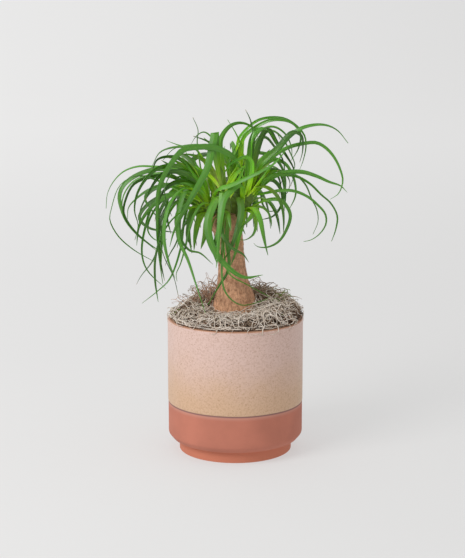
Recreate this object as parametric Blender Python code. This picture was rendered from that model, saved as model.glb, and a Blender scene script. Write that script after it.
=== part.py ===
"""Ponytail palm with several leafy heads in a two-tone stoneware pot.

Every size is in metres, +Z is up and the origin is the centre of the pot's underside.
The front of the plant faces -Y.
"""

import math
import random

import bmesh
import bpy
from mathutils import Matrix, Vector, noise
from mathutils.bvhtree import BVHTree

MM = 0.001
GAP = 0.3 * MM

# Pot
POT_RADIUS = 82.5 * MM
POT_HEIGHT = 166 * MM
POT_WALL = 6 * MM
POT_FLOOR = 22 * MM
POT_STEPS = 40
FOOT_RADIUS = 69 * MM
FOOT_HEIGHT = 15.5 * MM
BODY_CHAMFER = 5 * MM
GLAZE_LINE = 61.5 * MM
GLAZE_THICKNESS = 0.4 * MM
RIM_ROUND = 1.8 * MM

# Soil and moss
SOIL_TOP = 156 * MM
SOIL_STEPS = 20
MOSS_STEPS = 34
MOSS_RISE = 13.5 * MM
# Mound of the moss: distance in from the wall in millimetres, and height as a share of its rise
MOSS_ROWS = ((2.5, 0.16), (7, 0.38), (14, 0.64), (23, 0.85), (33, 0.95), (44, 1))
MOSS_LUMP = 1.9 * MM
MOSS_LUMP_SIZE = 13 * MM

# Trunk: height, radius and sideways lean of its middle
TRUNK_STEPS = 24
TRUNK_ROWS = (
    (140, 16, 0), (146, 28, 0), (154, 34.5, 0), (164, 34.5, 0), (173, 31, 0.3), (182, 27.3, 0),
    (191, 24.3, -0.8), (201, 21.6, -1.8), (212, 18.8, -2.8), (226, 17.1, -4), (242, 16.3, -5.2),
    (257, 16.3, -6.5), (268, 17.4, -8.6), (277, 19.8, -11.2), (284, 20.6, -12.6), (290, 17.5, -13),
)
TRUNK_TOP = 293.5 * MM
TRUNK_BACK = 1.5 * MM
BARK_RELIEF = 0.55 * MM

# Leaf heads: foot and tip of each shoot, in millimetres
HEADS = {
    "head_left": ((-25, -3, 281), (-45, -7, 334)),
    "head_front": ((-13, -9.5, 281), (-12, -20, 328)),
    "head_right": ((0, -2, 280), (24, -7, 334)),
    "head_top": ((-3, 10.5, 282), (8, 16, 352)),
    "head_rear": ((-19, 12.5, 281), (-26, 30, 332)),
}
STEM_RADIUS = 5 * MM
# Share of the shoot's length, and radius as a share of the stem's
SHOOT_ROWS = ((0, 1), (0.27, 1), (0.38, 1.45), (0.6, 1.4), (0.82, 0.9), (1, 0.3))
SHOOT_STEPS = 9
SHOOT_POINT = 0.3 * MM

# Leaf blades. One narrower than NARROW_BLADE has three sides, and its upper face is flat
BLADE_THICKNESS = 0.8 * MM
BLADE_FOLD = 0.12
NARROW_BLADE = 5.3
BLADE_CLEAR = 0.45 * MM
SEEN_TILT = math.tan(math.radians(12.3))
FRONT = Vector((0, -1, SEEN_TILT)).normalized()
# Share of its length by which a blade has turned to face the front
TURNED_BY = 0.35
REDRAWS = 60

# Leaves that are placed by hand on each head: width, how far the blade turns its face to the front at
# its middle and at its tip in percent, nearness at the middle and at the tip, and points of the route
# after its root, as across and height. Heights are as seen from SEEN_TILT above the level, so a point's
# nearness doesn't move it in the front view. Millimetres.
PLACED = {
    "head_left": (
        (6.4, 80, 95, 44, 30, ((-22, 322), (-8, 326), (11, 334), (28, 342), (46, 353), (62, 372))),
        (2.4, 60, 60, 4, -2, ((-42, 350), (-46, 380), (-45, 396), (-51, 411))),
        (3.4, 60, 40, 12, 6, ((-60, 343), (-85, 350), (-99, 351), (-117, 351), (-134, 345), (-147, 332),
         (-154, 318), (-156, 300))),
        (8.0, 55, 95, 24, 30, ((-70, 344), (-91, 348), (-109, 344), (-126, 335), (-136, 324), (-139, 312),
         (-136, 297), (-130, 283), (-118, 268), (-101, 254), (-88, 246))),
        (3.4, 50, 40, -10, -16, ((-80, 343), (-108, 341), (-125, 333), (-136, 317), (-138, 300),
         (-133, 284))),
        (5.6, 75, 50, 38, 40, ((-75, 338), (-105, 336), (-121, 328), (-130, 311), (-133, 292),
         (-121, 272), (-95, 248))),
        (6.4, 75, 40, 54, 58, ((-62, 348), (-90, 347), (-106, 333), (-116, 315), (-119, 295), (-115, 278),
         (-119, 260))),
        (6.0, 75, 45, -20, -24, ((-75, 330), (-104, 325), (-122, 313), (-131, 302), (-132, 288))),
        (4.2, 60, 40, -34, -40, ((-72, 328), (-100, 325), (-112, 312), (-118, 296), (-119, 280))),
        (4.6, 70, 60, 2, 10, ((-80, 328), (-104, 323), (-109, 312), (-103, 301), (-94, 290), (-84, 287))),
        (6.2, 80, 50, 14, 20, ((-68, 318), (-92, 309), (-107, 294), (-116, 277), (-119, 254))),
        (3.6, 45, 35, 50, 36, ((-112, 338), (-130, 332), (-139, 322), (-147, 297), (-149, 285),
         (-140, 266), (-122, 249), (-97, 234))),
        (6.2, 90, 80, -30, -10, ((-80, 318), (-108, 306), (-118, 289), (-106, 277), (-88, 273), (-72, 271))),
        (6.6, 75, 50, 30, 34, ((-55, 350), (-72, 361), (-92, 358), (-99, 344))),
        (7.6, 80, 55, 40, 48, ((-52, 337), (-68, 343), (-86, 340), (-98, 326), (-106, 308))),
        (8.4, 80, 70, 0, -16, ((-47, 348), (-58, 363), (-70, 367), (-80, 362))),
        (7.6, 80, 55, 30, 36, ((-54, 330), (-72, 331), (-86, 320), (-93, 303), (-96, 283))),
        (6.8, 90, 80, 26, 30, ((-40, 326), (-50, 341), (-58, 352), (-66, 358))),
        (6.8, 90, 80, 22, 24, ((-42, 322), (-54, 333), (-64, 338), (-74, 337))),
        (6.4, 85, 80, 28, 34, ((-36, 328), (-43, 343), (-48, 356), (-50, 366))),
        (6.2, 85, 80, 34, 40, ((-40, 318), (-52, 326), (-62, 329), (-70, 326))),
        (9.0, 95, 95, 30, 32, ((-42, 302), (-50, 296), (-55, 280), (-57, 264), (-52, 252))),
        (8.6, 95, 90, 16, 18, ((-38, 297), (-45, 282), (-48, 266), (-50, 248))),
        (8.0, 90, 85, 6, 4, ((-33, 292), (-35, 280), (-37, 266), (-42, 250))),
        (4.4, 70, 70, 36, 22, ((-62, 300), (-66, 265), (-55, 248), (-43, 245), (-27, 231))),
        (6.8, 80, 70, 38, 50, ((-58, 322), (-68, 295), (-68, 262), (-57, 236), (-47, 205), (-36, 171))),
        (5.2, 70, 60, -6, -12, ((-72, 320), (-92, 296), (-93, 265), (-87, 240), (-75, 213), (-70, 191))),
    ),
    "head_front": (
        (8.4, 85, 25, 14, 6, ((-17, 360), (-17, 384), (-5, 400), (8, 403), (20, 398), (27, 387))),
        (10.2, 95, 95, 44, 52, ((-22, 360), (-24, 384), (-24.5, 392), (-25.5, 384), (-29, 366), (-34, 345),
         (-45, 324), (-60, 297), (-73, 270), (-78, 252))),
        (3.0, 60, 50, 8, 2, ((-22, 370), (-29, 387), (-38, 393), (-47, 388), (-53, 379))),
        (3.6, 70, 60, 34, 38, ((-38, 306), (-52, 285), (-60, 252), (-66, 231), (-71, 219), (-70, 210))),
        (10.1, 75, 70, 44, 50, ((-20, 314), (-31, 292), (-33, 275), (-27, 251), (-12, 230), (10, 215),
         (33, 218))),
        (8.3, 65, 60, 38, 36, ((-15, 320), (-17, 300), (-20, 272), (-26, 249), (-22, 231))),
        (6.0, 70, 60, 40, 48, ((-18, 302), (-19, 282), (-14, 264), (-3, 250), (9, 243), (16, 233))),
        (5.6, 65, 60, 36, 48, ((-9, 300), (-10, 262), (-8, 225), (-19, 205), (-33, 181))),
        (2.4, 60, 40, 38, 40, ((-13, 296), (-14, 255), (-8, 220), (14, 206), (41, 191))),
        (2.8, 60, 60, 42, 58, ((-10, 300), (-14, 280), (-16, 250), (-16, 215), (-13, 199), (-4, 187),
         (7, 181), (18, 182), (39, 189))),
        (6.2, 85, 70, 22, 16, ((-17, 344), (-24, 357), (-29, 366))),
    ),
    "head_right": (
        (7.6, 90, 85, 50, 40, ((8, 345), (0, 358), (-6, 364), (-26, 372), (-43, 372), (-62, 368), (-76, 351),
         (-86, 333), (-91, 315), (-92, 290), (-92, 262), (-90, 234), (-87, 207))),
        (8.2, 95, 15, 16, 22, ((26, 347), (36, 361), (52, 373), (65, 387), (81, 397), (104, 400), (120, 394),
         (134, 378))),
        (8.4, 80, 60, -8, -14, ((25, 366), (34, 392), (39, 397), (50, 380), (62, 364), (71, 346), (67, 328))),
        (5.2, 75, 50, 4, 10, ((27, 347), (50, 367), (65, 375), (81, 379), (97, 380), (108, 374), (118, 363),
         (126, 347), (129, 333), (124, 318), (114, 311))),
        (8.6, 95, 60, 22, 10, ((28, 350), (50, 372), (68, 391), (78, 387), (80, 370), (77, 356))),
        (8.1, 80, 60, 12, -6, ((17, 350), (18, 376), (23, 391), (33, 397), (45, 388), (52, 374))),
        (4.4, 80, 60, 8, -8, ((18, 352), (22, 385), (18, 408), (12, 421))),
        (6.6, 60, 90, 12, 18, ((34, 330), (46, 339), (61, 344), (81, 344), (97, 339), (112, 332), (126, 327),
         (134, 319))),
        (6.6, 65, 40, 22, 30, ((35, 334), (48, 341), (61, 341), (73, 339), (89, 330), (103, 316), (114, 306),
         (122, 290), (120, 273), (115, 259))),
        (3.2, 50, 45, -6, -18, ((45, 345), (72, 342), (85, 330), (93, 312), (99, 300), (101, 285),
         (95, 269))),
        (4.4, 70, 50, 14, 22, ((18, 314), (36, 319), (56, 322), (71, 321), (87, 314), (99, 304), (108, 293),
         (109, 281), (102, 269), (91, 261), (82, 259))),
        (5.4, 85, 60, -14, -6, ((28, 328), (44, 336), (55, 325), (57, 308), (47, 292), (30, 286))),
        (4.0, 80, 60, -26, -26, ((30, 322), (34, 306), (42, 298), (52, 300))),
        (5.0, 75, 60, 20, 26, ((36, 310), (54, 310), (63, 300), (66, 290), (62, 275), (52, 259), (38, 252),
         (26, 253), (22, 257))),
        (8.0, 70, 50, 34, 30, ((21, 301), (29, 288), (34, 265), (39, 242))),
        (5.8, 85, 60, 8, 20, ((20, 297), (25, 283), (22, 268), (12, 261), (2, 262))),
        (8.5, 75, 75, 26, 24, ((22, 295), (16, 285), (6, 275))),
        (6.6, 90, 80, 26, 36, ((20, 347), (19, 356), (13, 361), (3, 358), (-7, 351), (-10, 343))),
        (8.3, 90, 80, 46, 50, ((7, 329), (-4, 322), (-13, 310), (-17, 290), (-20, 262), (-21, 240),
         (-23, 226))),
        (9.0, 70, 65, 34, 36, ((5, 313), (7, 298), (4, 280), (-4, 255), (-13, 237))),
        (7.2, 65, 60, 28, 26, ((10, 300), (8, 282), (3, 262), (-1, 243), (-6, 229))),
        (8.2, 90, 60, 10, 4, ((14, 340), (16, 362), (17, 382), (22, 396))),
        (5.4, 50, 45, -26, -36, ((34, 352), (48, 362), (62, 356), (72, 338), (74, 318), (66, 300))),
    ),
    "head_top": (
        (3.8, 60, 55, -12, -4, ((3, 383), (8, 392), (26, 408), (44, 412), (60, 410), (73, 402), (83, 390),
         (85, 376), (81, 357), (77, 347))),
        (5.0, 75, 50, -2, 12, ((9, 385), (22, 398), (45, 408), (68, 404), (78, 390), (75, 372), (66, 357))),
        (3.6, 60, 45, -26, -30, ((25, 391), (35, 400), (47, 402), (60, 394), (68, 378), (69, 362))),
        (3.2, 55, 50, -38, -50, ((30, 392), (42, 398), (50, 397), (55, 388))),
        (4.4, 60, 50, -30, -34, ((40, 350), (60, 346), (67, 334), (64, 322), (56, 313))),
        (4.2, 60, 50, -20, -22, ((38, 345), (50, 343), (55, 330), (53, 317))),
        (3.0, 60, 50, -8, -14, ((8, 372), (2, 389), (-4, 400), (-9.5, 409))),
        (9.2, 85, 85, -34, -78, ((0, 370), (-5, 386), (-6, 378))),
        (6.0, 85, 60, -14, -10, ((-10, 364), (-35, 375), (-60, 377), (-80, 375), (-92, 369), (-101, 352))),
        (4.2, 60, 50, -30, -34, ((-12, 366), (-36, 379), (-60, 380), (-76, 375), (-88, 362))),
        (7.5, 85, 85, -6, -6, ((-8, 352), (-4, 366), (4, 382))),
        (6.5, 85, 85, -12, -14, ((-2, 356), (4, 372), (12, 390))),
        (6.0, 45, 45, -30, -20, ((22, 380), (36, 390), (48, 378), (58, 362), (60, 345), (54, 328))),
        (5.5, 45, 45, -42, -46, ((18, 370), (32, 371), (46, 367), (58, 352), (62, 330), (56, 312))),
        (4.6, 40, 40, -22, -10, ((30, 388), (44, 397), (56, 389), (66, 371), (72, 352), (64, 340))),
    ),
    "head_rear": (
        (2.9, 60, 50, -22, -26, ((-48, 374), (-68, 379), (-84, 385))),
        (3.6, 60, 50, -44, -40, ((-50, 330), (-66, 300), (-72, 262), (-82, 243), (-87, 230))),
        (4.0, 60, 50, -60, -64, ((-60, 335), (-96, 318), (-112, 280), (-117, 246), (-111, 225),
         (-87, 200))),
        (3.6, 60, 50, -52, -60, ((-55, 330), (-84, 300), (-94, 260), (-104, 235), (-118, 217),
         (-124, 206))),
        (3.4, 60, 50, -36, -34, ((-48, 325), (-62, 290), (-68, 250), (-82, 212), (-96, 198), (-116, 182))),
        (3.6, 60, 50, -40, -24, ((-62, 328), (-96, 305), (-108, 275), (-98, 262), (-84, 263))),
    ),
}

# Sector of azimuths that the drawn leaves of each head fan over, in degrees
SECTORS = {
    "head_left": (105, 240),
    "head_front": (190, 350),
    "head_right": (-60, 120),
    "head_top": (-10, 200),
    "head_rear": (30, 235),
}
# Leaves that are drawn by rule, in the order that they take their places. For each sort: how many
# on each head, length and width in millimetres, where on the shoot they root, and the slopes that
# they set out and end at, in degrees
DRAWN = (
    {
        "count": {"head_left": 5, "head_front": 4, "head_right": 5, "head_top": 5, "head_rear": 4},
        "length": (55, 85), "width": (7, 9), "root": (0.45, 0.8), "rise": (62, 84), "fall": (10, 50),
    },
    {
        "count": {"head_left": 3, "head_front": 2, "head_right": 3, "head_top": 2, "head_rear": 4},
        "length": (42, 78), "width": (5.5, 7.5), "root": (0.28, 0.36), "rise": (5, 40), "fall": (-118, -55),
    },
    {
        "count": {"head_left": 7, "head_front": 0, "head_right": 6, "head_top": 8, "head_rear": 15},
        "length": (95, 185), "width": (6, 9.5), "root": (0.34, 0.72), "rise": (14, 76), "fall": (-122, -78),
    },
)
SEED = 41

# Windows of the front view that no drawn leaf enters: across and height, low and high
CLEAR_WINDOWS = (
    ((-15, 200), (100, 268)),
    ((66, 200), (100, 420)),
    ((-200, -98), (100, 420)),
    ((-60, -15), (100, 235)),
    ((-200, 200), (398, 500)),
)


def material(name, colour, roughness):
    """A plain material in the piece's own colour."""
    mat = bpy.data.materials.new(name)
    mat.use_nodes = True
    shader = mat.node_tree.nodes["Principled BSDF"]
    linear = [((int(colour[i:i + 2], 16) / 255 + 0.055) / 1.055) ** 2.4 for i in (0, 2, 4)]
    shader.inputs["Base Color"].default_value = (*linear, 1)
    shader.inputs["Roughness"].default_value = roughness
    shader.inputs["Metallic"].default_value = 0
    return mat


def add_object(name, bm, mat=None):
    """Turn a bmesh into a named object."""
    mesh = bpy.data.meshes.new(name)
    bm.to_mesh(mesh)
    bm.free()
    obj = bpy.data.objects.new(name, mesh)
    bpy.context.scene.collection.objects.link(obj)
    if mat:
        mesh.materials.append(mat)
    return obj


def spun(profile, steps):
    """A closed body of revolution about Z, from a profile of (radius, height) pairs."""
    bm = bmesh.new()
    verts = [bm.verts.new((r, 0, z)) for r, z in profile]
    edges = [bm.edges.new(pair) for pair in zip(verts, verts[1:])]
    bmesh.ops.spin(bm, geom=verts + edges, cent=(0, 0, 0), axis=(0, 0, 1),
                   angle=2 * math.pi, steps=steps, use_merge=True)
    bmesh.ops.remove_doubles(bm, verts=bm.verts, dist=0.01 * MM)
    bmesh.ops.recalc_face_normals(bm, faces=bm.faces)
    return bm


def arc(centre, radius, start, end, count):
    """Points of a profile's rounded corner, angles in degrees."""
    angles = [math.radians(start + (end - start) * i / count) for i in range(count + 1)]
    return [(centre[0] + radius * math.cos(a), centre[1] + radius * math.sin(a)) for a in angles]


def make_pot():
    """One fired body: foot, chamfered wall, glaze a hair proud of the clay, and rounded rim."""
    outer = POT_RADIUS + GLAZE_THICKNESS
    inner = POT_RADIUS - POT_WALL
    profile = [(0, 0), (FOOT_RADIUS - 1.2 * MM, 0), (FOOT_RADIUS, 1.2 * MM),
               (FOOT_RADIUS, FOOT_HEIGHT), (POT_RADIUS - BODY_CHAMFER, FOOT_HEIGHT),
               (POT_RADIUS - 0.3 * BODY_CHAMFER, FOOT_HEIGHT + 0.5 * BODY_CHAMFER),
               (POT_RADIUS, FOOT_HEIGHT + 1.3 * BODY_CHAMFER),
               (POT_RADIUS, GLAZE_LINE), (outer, GLAZE_LINE + 0.8 * MM)]
    profile += arc((outer - RIM_ROUND, POT_HEIGHT - RIM_ROUND), RIM_ROUND, 0, 90, 3)
    profile += arc((inner + RIM_ROUND, POT_HEIGHT - RIM_ROUND), RIM_ROUND, 90, 180, 3)
    profile += [(inner, POT_FLOOR + 4 * MM), (inner - 4 * MM, POT_FLOOR), (0, POT_FLOOR)]
    obj = add_object("pot", spun(profile, POT_STEPS), material("stoneware", "C58A78", 0.6))
    obj.data.shade_smooth()
    obj.data.set_sharp_from_angle(angle=math.radians(30))
    return obj


def fill_radius():
    """Radius of what fills the pot, clear of the flats of the pot's faceted wall."""
    return (POT_RADIUS - POT_WALL) * math.cos(math.pi / POT_STEPS) - GAP


def make_soil(trunk_cutter):
    """Potting soil, with a plain hole where the trunk's foot stands."""
    radius = fill_radius()
    profile = [(0, POT_FLOOR + GAP), (radius - 4 * MM, POT_FLOOR + GAP),
               (radius, POT_FLOOR + 4 * MM + GAP), (radius, SOIL_TOP - 2 * MM),
               (radius - 2 * MM, SOIL_TOP), (0, SOIL_TOP)]
    obj = add_object("potting_soil", spun(profile, SOIL_STEPS), material("soil", "3B2A20", 0.95))
    return cut(obj, trunk_cutter)


def moss_rise(angle):
    """How much the moss is heaped at an azimuth: least in front, most behind."""
    return 1.42 - 0.5 * math.cos(angle + math.pi / 2) + 0.22 * math.cos(angle)


def make_moss(trunk_cutter):
    """Mat of dried moss: heaped round the trunk, lumpy, and lapping onto the rim at the right."""
    radius = fill_radius()
    edge = POT_HEIGHT + GAP
    profile = [(0, SOIL_TOP + GAP), (radius - 1 * MM, SOIL_TOP + GAP), (radius, SOIL_TOP + 2 * MM),
               (radius, edge - 3 * MM), (radius - 0.8 * MM, edge - 0.6 * MM)]
    profile += [(radius - inward * MM, edge + MOSS_RISE * share) for inward, share in MOSS_ROWS]
    profile += [(0, edge + MOSS_RISE)]
    bm = spun(profile, MOSS_STEPS)
    for vert in bm.verts:
        x, y, z = vert.co
        if z < edge + 1 * MM:
            continue
        angle = math.atan2(y, x)
        distance = math.hypot(x, y)
        right = max(0, math.cos(angle)) ** 3 * min(1, max(0, distance / radius - 0.7) / 0.3)
        out = 1 + 0.1 * right
        lump = noise.noise(vert.co / MOSS_LUMP_SIZE) + 0.5 * noise.noise(vert.co / (0.45 * MOSS_LUMP_SIZE))
        height = edge + (z - edge) * (moss_rise(angle) + 0.55 * right) + MOSS_LUMP * lump
        vert.co = (x * out, y * out, max(height, edge + 0.9 * MM))
    obj = add_object("moss", bm, material("dried_moss", "A4998A", 0.95))
    return cut(obj, trunk_cutter)


def make_trunk(grow=0):
    """Caudex: flared foot, narrow waist and swollen top, with corky relief. grow makes a cutter."""
    profile = [(0, TRUNK_ROWS[0][0] * MM - grow)]
    profile += [(r * MM + grow, z * MM) for z, r, _ in TRUNK_ROWS]
    profile += [(0, TRUNK_TOP + grow)]
    bm = spun(profile, TRUNK_STEPS)
    heights = [row[0] * MM for row in TRUNK_ROWS]
    leans = [row[2] * MM for row in TRUNK_ROWS]
    for vert in bm.verts:
        z = vert.co.z
        lean = leans[-1]
        for low, high, a, b in zip(heights, heights[1:], leans, leans[1:]):
            if z <= high:
                lean = a + (b - a) * max(0, (z - low) / (high - low))
                break
        radial = Vector((vert.co.x, vert.co.y, 0))
        if radial.length > 5 * MM:
            ridge = noise.noise(Vector((radial.x * 130, radial.y * 130, z * 60)))
            wrinkle = noise.noise(Vector((radial.x * 60 + 9, radial.y * 60, z * 260)))
            radial *= 1 + BARK_RELIEF * (ridge + 0.8 * wrinkle) / radial.length
        back = TRUNK_BACK * min(1, max(0, (z - 0.2) / 0.08))
        vert.co = (radial.x + lean, radial.y + back, z)
    return bm


def cut(obj, cutter_mesh_maker):
    """Take a cutter's shape out of an object and apply it."""
    cutter = add_object("cutter", cutter_mesh_maker())
    cutter.hide_render = True
    cutter.display_type = "WIRE"
    apply_boolean(obj, "DIFFERENCE", cutter=cutter)
    bpy.data.objects.remove(cutter)
    return obj


def apply_boolean(obj, operation, cutter=None, collection=None):
    """Run one exact Boolean and keep its result as the object's mesh."""
    modifier = obj.modifiers.new(operation.title(), "BOOLEAN")
    modifier.operation = operation
    modifier.solver = "EXACT"
    if collection:
        modifier.operand_type = "COLLECTION"
        modifier.collection = collection
    else:
        modifier.object = cutter
    bpy.context.view_layer.update()
    depsgraph = bpy.context.evaluated_depsgraph_get()
    mesh = bpy.data.meshes.new_from_object(obj.evaluated_get(depsgraph))
    obj.modifiers.clear()
    mesh.name = obj.name
    obj.data = mesh
    keep_one_body(obj)


def keep_one_body(obj):
    """Drop loose scraps and fill sealed hollows: only the largest closed shell stays.

    Shells that touch along an edge of four faces count as two.
    """
    bm = bmesh.new()
    bm.from_mesh(obj.data)
    bmesh.ops.triangulate(bm, faces=bm.faces)
    left = set(bm.faces)
    shells = []
    while left:
        shell = {left.pop()}
        front = list(shell)
        while front:
            face = front.pop()
            for edge in face.edges:
                others = edge.link_faces if len(edge.link_faces) == 2 else ()
                for other in others:
                    if other in left:
                        left.remove(other)
                        shell.add(other)
                        front.append(other)
        shells.append(shell)
    largest = max(shells, key=lambda shell: sum(face_volume(face) for face in shell))
    spare = [face for shell in shells if shell is not largest for face in shell]
    bmesh.ops.delete(bm, geom=spare, context="FACES")
    bm.to_mesh(obj.data)
    bm.free()


def face_volume(face):
    """Signed volume between a triangle and the origin."""
    a, b, c = (vert.co for vert in face.verts)
    return a.dot(b.cross(c)) / 6


def head_axis(name):
    """Foot, direction and length of a head's shoot."""
    foot, tip = (Vector(point) * MM for point in HEADS[name])
    return foot, (tip - foot).normalized(), (tip - foot).length


def make_shoot(name, grow=0):
    """Short leafy shoot: a round stem that stands in the trunk and swells where leaves clasp it."""
    foot, axis, length = head_axis(name)
    profile = [(0, -grow), (STEM_RADIUS + grow, -grow)]
    profile += [(STEM_RADIUS * share + grow, length * at) for at, share in SHOOT_ROWS[1:]]
    profile += [(0, length + grow + SHOOT_POINT)]
    bm = spun(profile, SHOOT_STEPS)
    turn = axis.to_track_quat("Z", "Y").to_matrix().to_4x4()
    bmesh.ops.transform(bm, matrix=Matrix.Translation(foot) @ turn, verts=bm.verts)
    return bm


def smooth_route(points, count):
    """A smooth curve through the points, as count + 1 points at equal steps along it."""
    padded = [2 * points[0] - points[1]] + list(points) + [2 * points[-1] - points[-2]]
    dense = []
    per_span = 14
    for p0, p1, p2, p3 in zip(padded, padded[1:], padded[2:], padded[3:]):
        knots = [0]
        for a, b in ((p0, p1), (p1, p2), (p2, p3)):
            knots.append(knots[-1] + math.sqrt(max((b - a).length, 1e-6)))
        for i in range(per_span):
            t = knots[1] + (knots[2] - knots[1]) * i / per_span
            dense.append(blend_knots((p0, p1, p2, p3), knots, t))
    dense.append(points[-1])
    lengths = [0]
    for a, b in zip(dense, dense[1:]):
        lengths.append(lengths[-1] + (b - a).length)
    route = []
    at = 0
    for i in range(count + 1):
        target = lengths[-1] * i / count
        while at < len(dense) - 2 and lengths[at + 1] < target:
            at += 1
        share = (target - lengths[at]) / max(lengths[at + 1] - lengths[at], 1e-9)
        route.append(dense[at].lerp(dense[at + 1], min(1, share)))
    return route


def blend_knots(points, knots, t):
    """A point of the centripetal curve between the second and third of four points."""
    level = list(points)
    for span in (1, 2, 3):
        level = [level[i].lerp(level[i + 1], (t - knots[low]) / (knots[high] - knots[low]))
                 for i, (low, high) in enumerate(blend_spans(span))]
    return level[0]


def blend_spans(span):
    """Knot pairs of one level of the curve's pyramid."""
    return {1: ((0, 1), (1, 2), (2, 3)), 2: ((0, 2), (1, 3)), 3: ((1, 2),)}[span]


def blade_width(share):
    """Width along a strap leaf, as a share of its widest: clasping root, long taper, fine tip."""
    root = 0.75 + 0.25 * min(1, share / 0.25)
    return root * max(0, 1 - share ** 3) ** 0.85


class Leaf:
    """One strap leaf: the shoot that it grows on, its route, its width, and how it turns.

    It rolls over by an angle, and turns the nearer of its faces to the front by one share at its
    middle and by another at its tip.
    """

    def __init__(self, name, points, width, roll=0, facing=(0, 0)):
        self.name = name
        self.points = points
        self.width = width * MM
        self.roll = roll
        self.facing = facing
        self.sections = self.along(segments_for(points))

    def along(self, count):
        """Middle, side and up vectors and width of the blade, at count + 1 points of its route."""
        route = smooth_route(self.points, count)
        lead = smooth_route(self.points, 3)[1] - self.points[0]
        side = head_axis(self.name)[1].cross(lead)
        frames = []
        for i, point in enumerate(route):
            tangent = (route[min(i + 1, count)] - route[max(i - 1, 0)]).normalized()
            side = (side - tangent * side.dot(tangent)).normalized()
            turned = Matrix.Rotation(self.roll * min(1, i / count / TURNED_BY), 3, tangent) @ side
            frames.append((point, tangent, turned.cross(tangent), FRONT - tangent * FRONT.dot(tangent)))
        face = math.copysign(1, sum(up.dot(front) for _, _, up, front in frames))
        sections = []
        for i, (point, tangent, up, front) in enumerate(frames):
            share = i / count
            # Where a fold shows the other face, that one stays in front
            pull = max(-1, min(1, up.dot(front) / 0.35 + 0.6 * face))
            up = up.lerp(front * pull, self.turned(share)).normalized()
            sections.append((point, tangent.cross(up), up, self.width * blade_width(share)))
        return sections

    def turned(self, share):
        """How far the blade has turned its face to the front, at a share of its length."""
        middle, tip = self.facing
        if share < TURNED_BY:
            return middle * share / TURNED_BY
        return middle + (tip - middle) * (share - TURNED_BY) / (1 - TURNED_BY)


def blade_mesh(sections, grow=0):
    """Folded strap blade, thickest at its midrib, split into triangles alike on both faces."""
    bm = bmesh.new()
    rings = []
    narrow = max(section[3] for section in sections) < NARROW_BLADE * MM
    for middle, side, up, width in sections[:-1]:
        half = width / 2 + grow
        lift = up * BLADE_FOLD * width
        thick = up * (BLADE_THICKNESS / 2 + grow)
        corners = [middle + side * half + lift, middle + thick, middle - side * half + lift, middle - thick]
        if narrow:
            corners.pop(1)
        rings.append([bm.verts.new(corner) for corner in corners])
    tip = bm.verts.new(sections[-1][0])
    around = list(range(len(rings[0])))
    sides = list(zip(around, around[1:] + around[:1]))
    for low, high in zip(rings, rings[1:]):
        for at, (i, j) in enumerate(sides):
            a, b, c, d = low[i], low[j], high[j], high[i]
            faces = ((a, b, d), (b, c, d)) if at % 2 else ((a, b, c), (a, c, d))
            for face in faces:
                bm.faces.new(face)
    for i, j in sides:
        bm.faces.new((rings[-1][i], rings[-1][j], tip))
    bm.faces.new(rings[0])
    bmesh.ops.recalc_face_normals(bm, faces=bm.faces)
    bmesh.ops.triangulate(bm, faces=bm.faces)
    return bm


def segments_for(points):
    """Enough segments for how much a route turns."""
    turning = 0
    for a, b, c in zip(points, points[1:], points[2:]):
        turning += (b - a).angle(c - b, 0)
    return max(5, min(12, round(2.9 + math.degrees(turning) / 32)))


def placed_points(name, row, shift):
    """World points of a leaf placed by hand.

    Its nearness is shifted at the middle and at the tip, and its root along the shoot.
    """
    near_middle, near_tip, seen = row[3:]
    foot, axis, length = head_axis(name)
    first = seen[0][1] * MM
    share = min(0.77, max(0.33, 0.5 * (first - foot.z) / length - 0.05)) + shift[2]
    root = foot + axis * length * share
    lengths = [0]
    trail = [(root.x / MM, root.z / MM)] + list(seen)
    for a, b in zip(trail, trail[1:]):
        lengths.append(lengths[-1] + math.dist(a, b))
    near_root = -root.y / MM
    near_middle += shift[0]
    near_tip += shift[1]
    points = [root]
    for (across, height), at in zip(seen, lengths[1:]):
        t = at / lengths[-1]
        near = (near_root * (1 - t) * (1 - 2 * t) + near_middle * 4 * t * (1 - t)
                + near_tip * t * (2 * t - 1))
        points.append(Vector((across, -near, height + SEEN_TILT * near)) * MM)
    return points


def drawn_points(name, sort, order, rng):
    """World points of a drawn leaf: it rises from its shoot, arches over and hangs."""
    low, high = SECTORS[name]
    foot, axis, length = head_axis(name)
    youth = (order + 0.5) / sort["count"][name]
    azimuth = math.radians(low + (high - low) * ((order * 0.618 + rng.uniform(-0.12, 0.12)) % 1))
    root_low, root_high = sort["root"]
    root = foot + axis * length * (root_low + (root_high - root_low) * youth)
    rise_low, rise_high = sort["rise"]
    rise = math.radians(rise_low + (rise_high - rise_low) * youth + rng.uniform(-8, 8))
    fall = math.radians(rng.uniform(*sort["fall"]))
    reach = rng.uniform(*sort["length"]) * MM
    bend = rng.uniform(0.3, 0.52)
    swing = math.radians(rng.uniform(-50, 50))
    power = math.log(0.5) / math.log(bend)
    points = [root]
    steps = 24
    here = root.copy()
    for i in range(steps):
        t = (i + 0.5) / steps
        eased = t ** power
        slope = rise + (fall - rise) * eased * eased * (3 - 2 * eased)
        heading = azimuth + swing * t
        here = here + Vector((math.cos(slope) * math.cos(heading),
                              math.cos(slope) * math.sin(heading), math.sin(slope))) * reach / steps
        if i % 4 == 3:
            points.append(here.copy())
    return points


def in_clear_window(points):
    """Whether a drawn leaf enters a window of the front view that stays open."""
    for point in points[2:]:
        across = point.x / MM
        height = point.z / MM + SEEN_TILT * point.y / MM
        for (left, right), (low, high) in CLEAR_WINDOWS:
            if left < across < right and low < height < high:
                return True
    return False


def tree(bm):
    """Search tree of a bmesh's faces."""
    return BVHTree.FromBMesh(bm)


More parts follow.
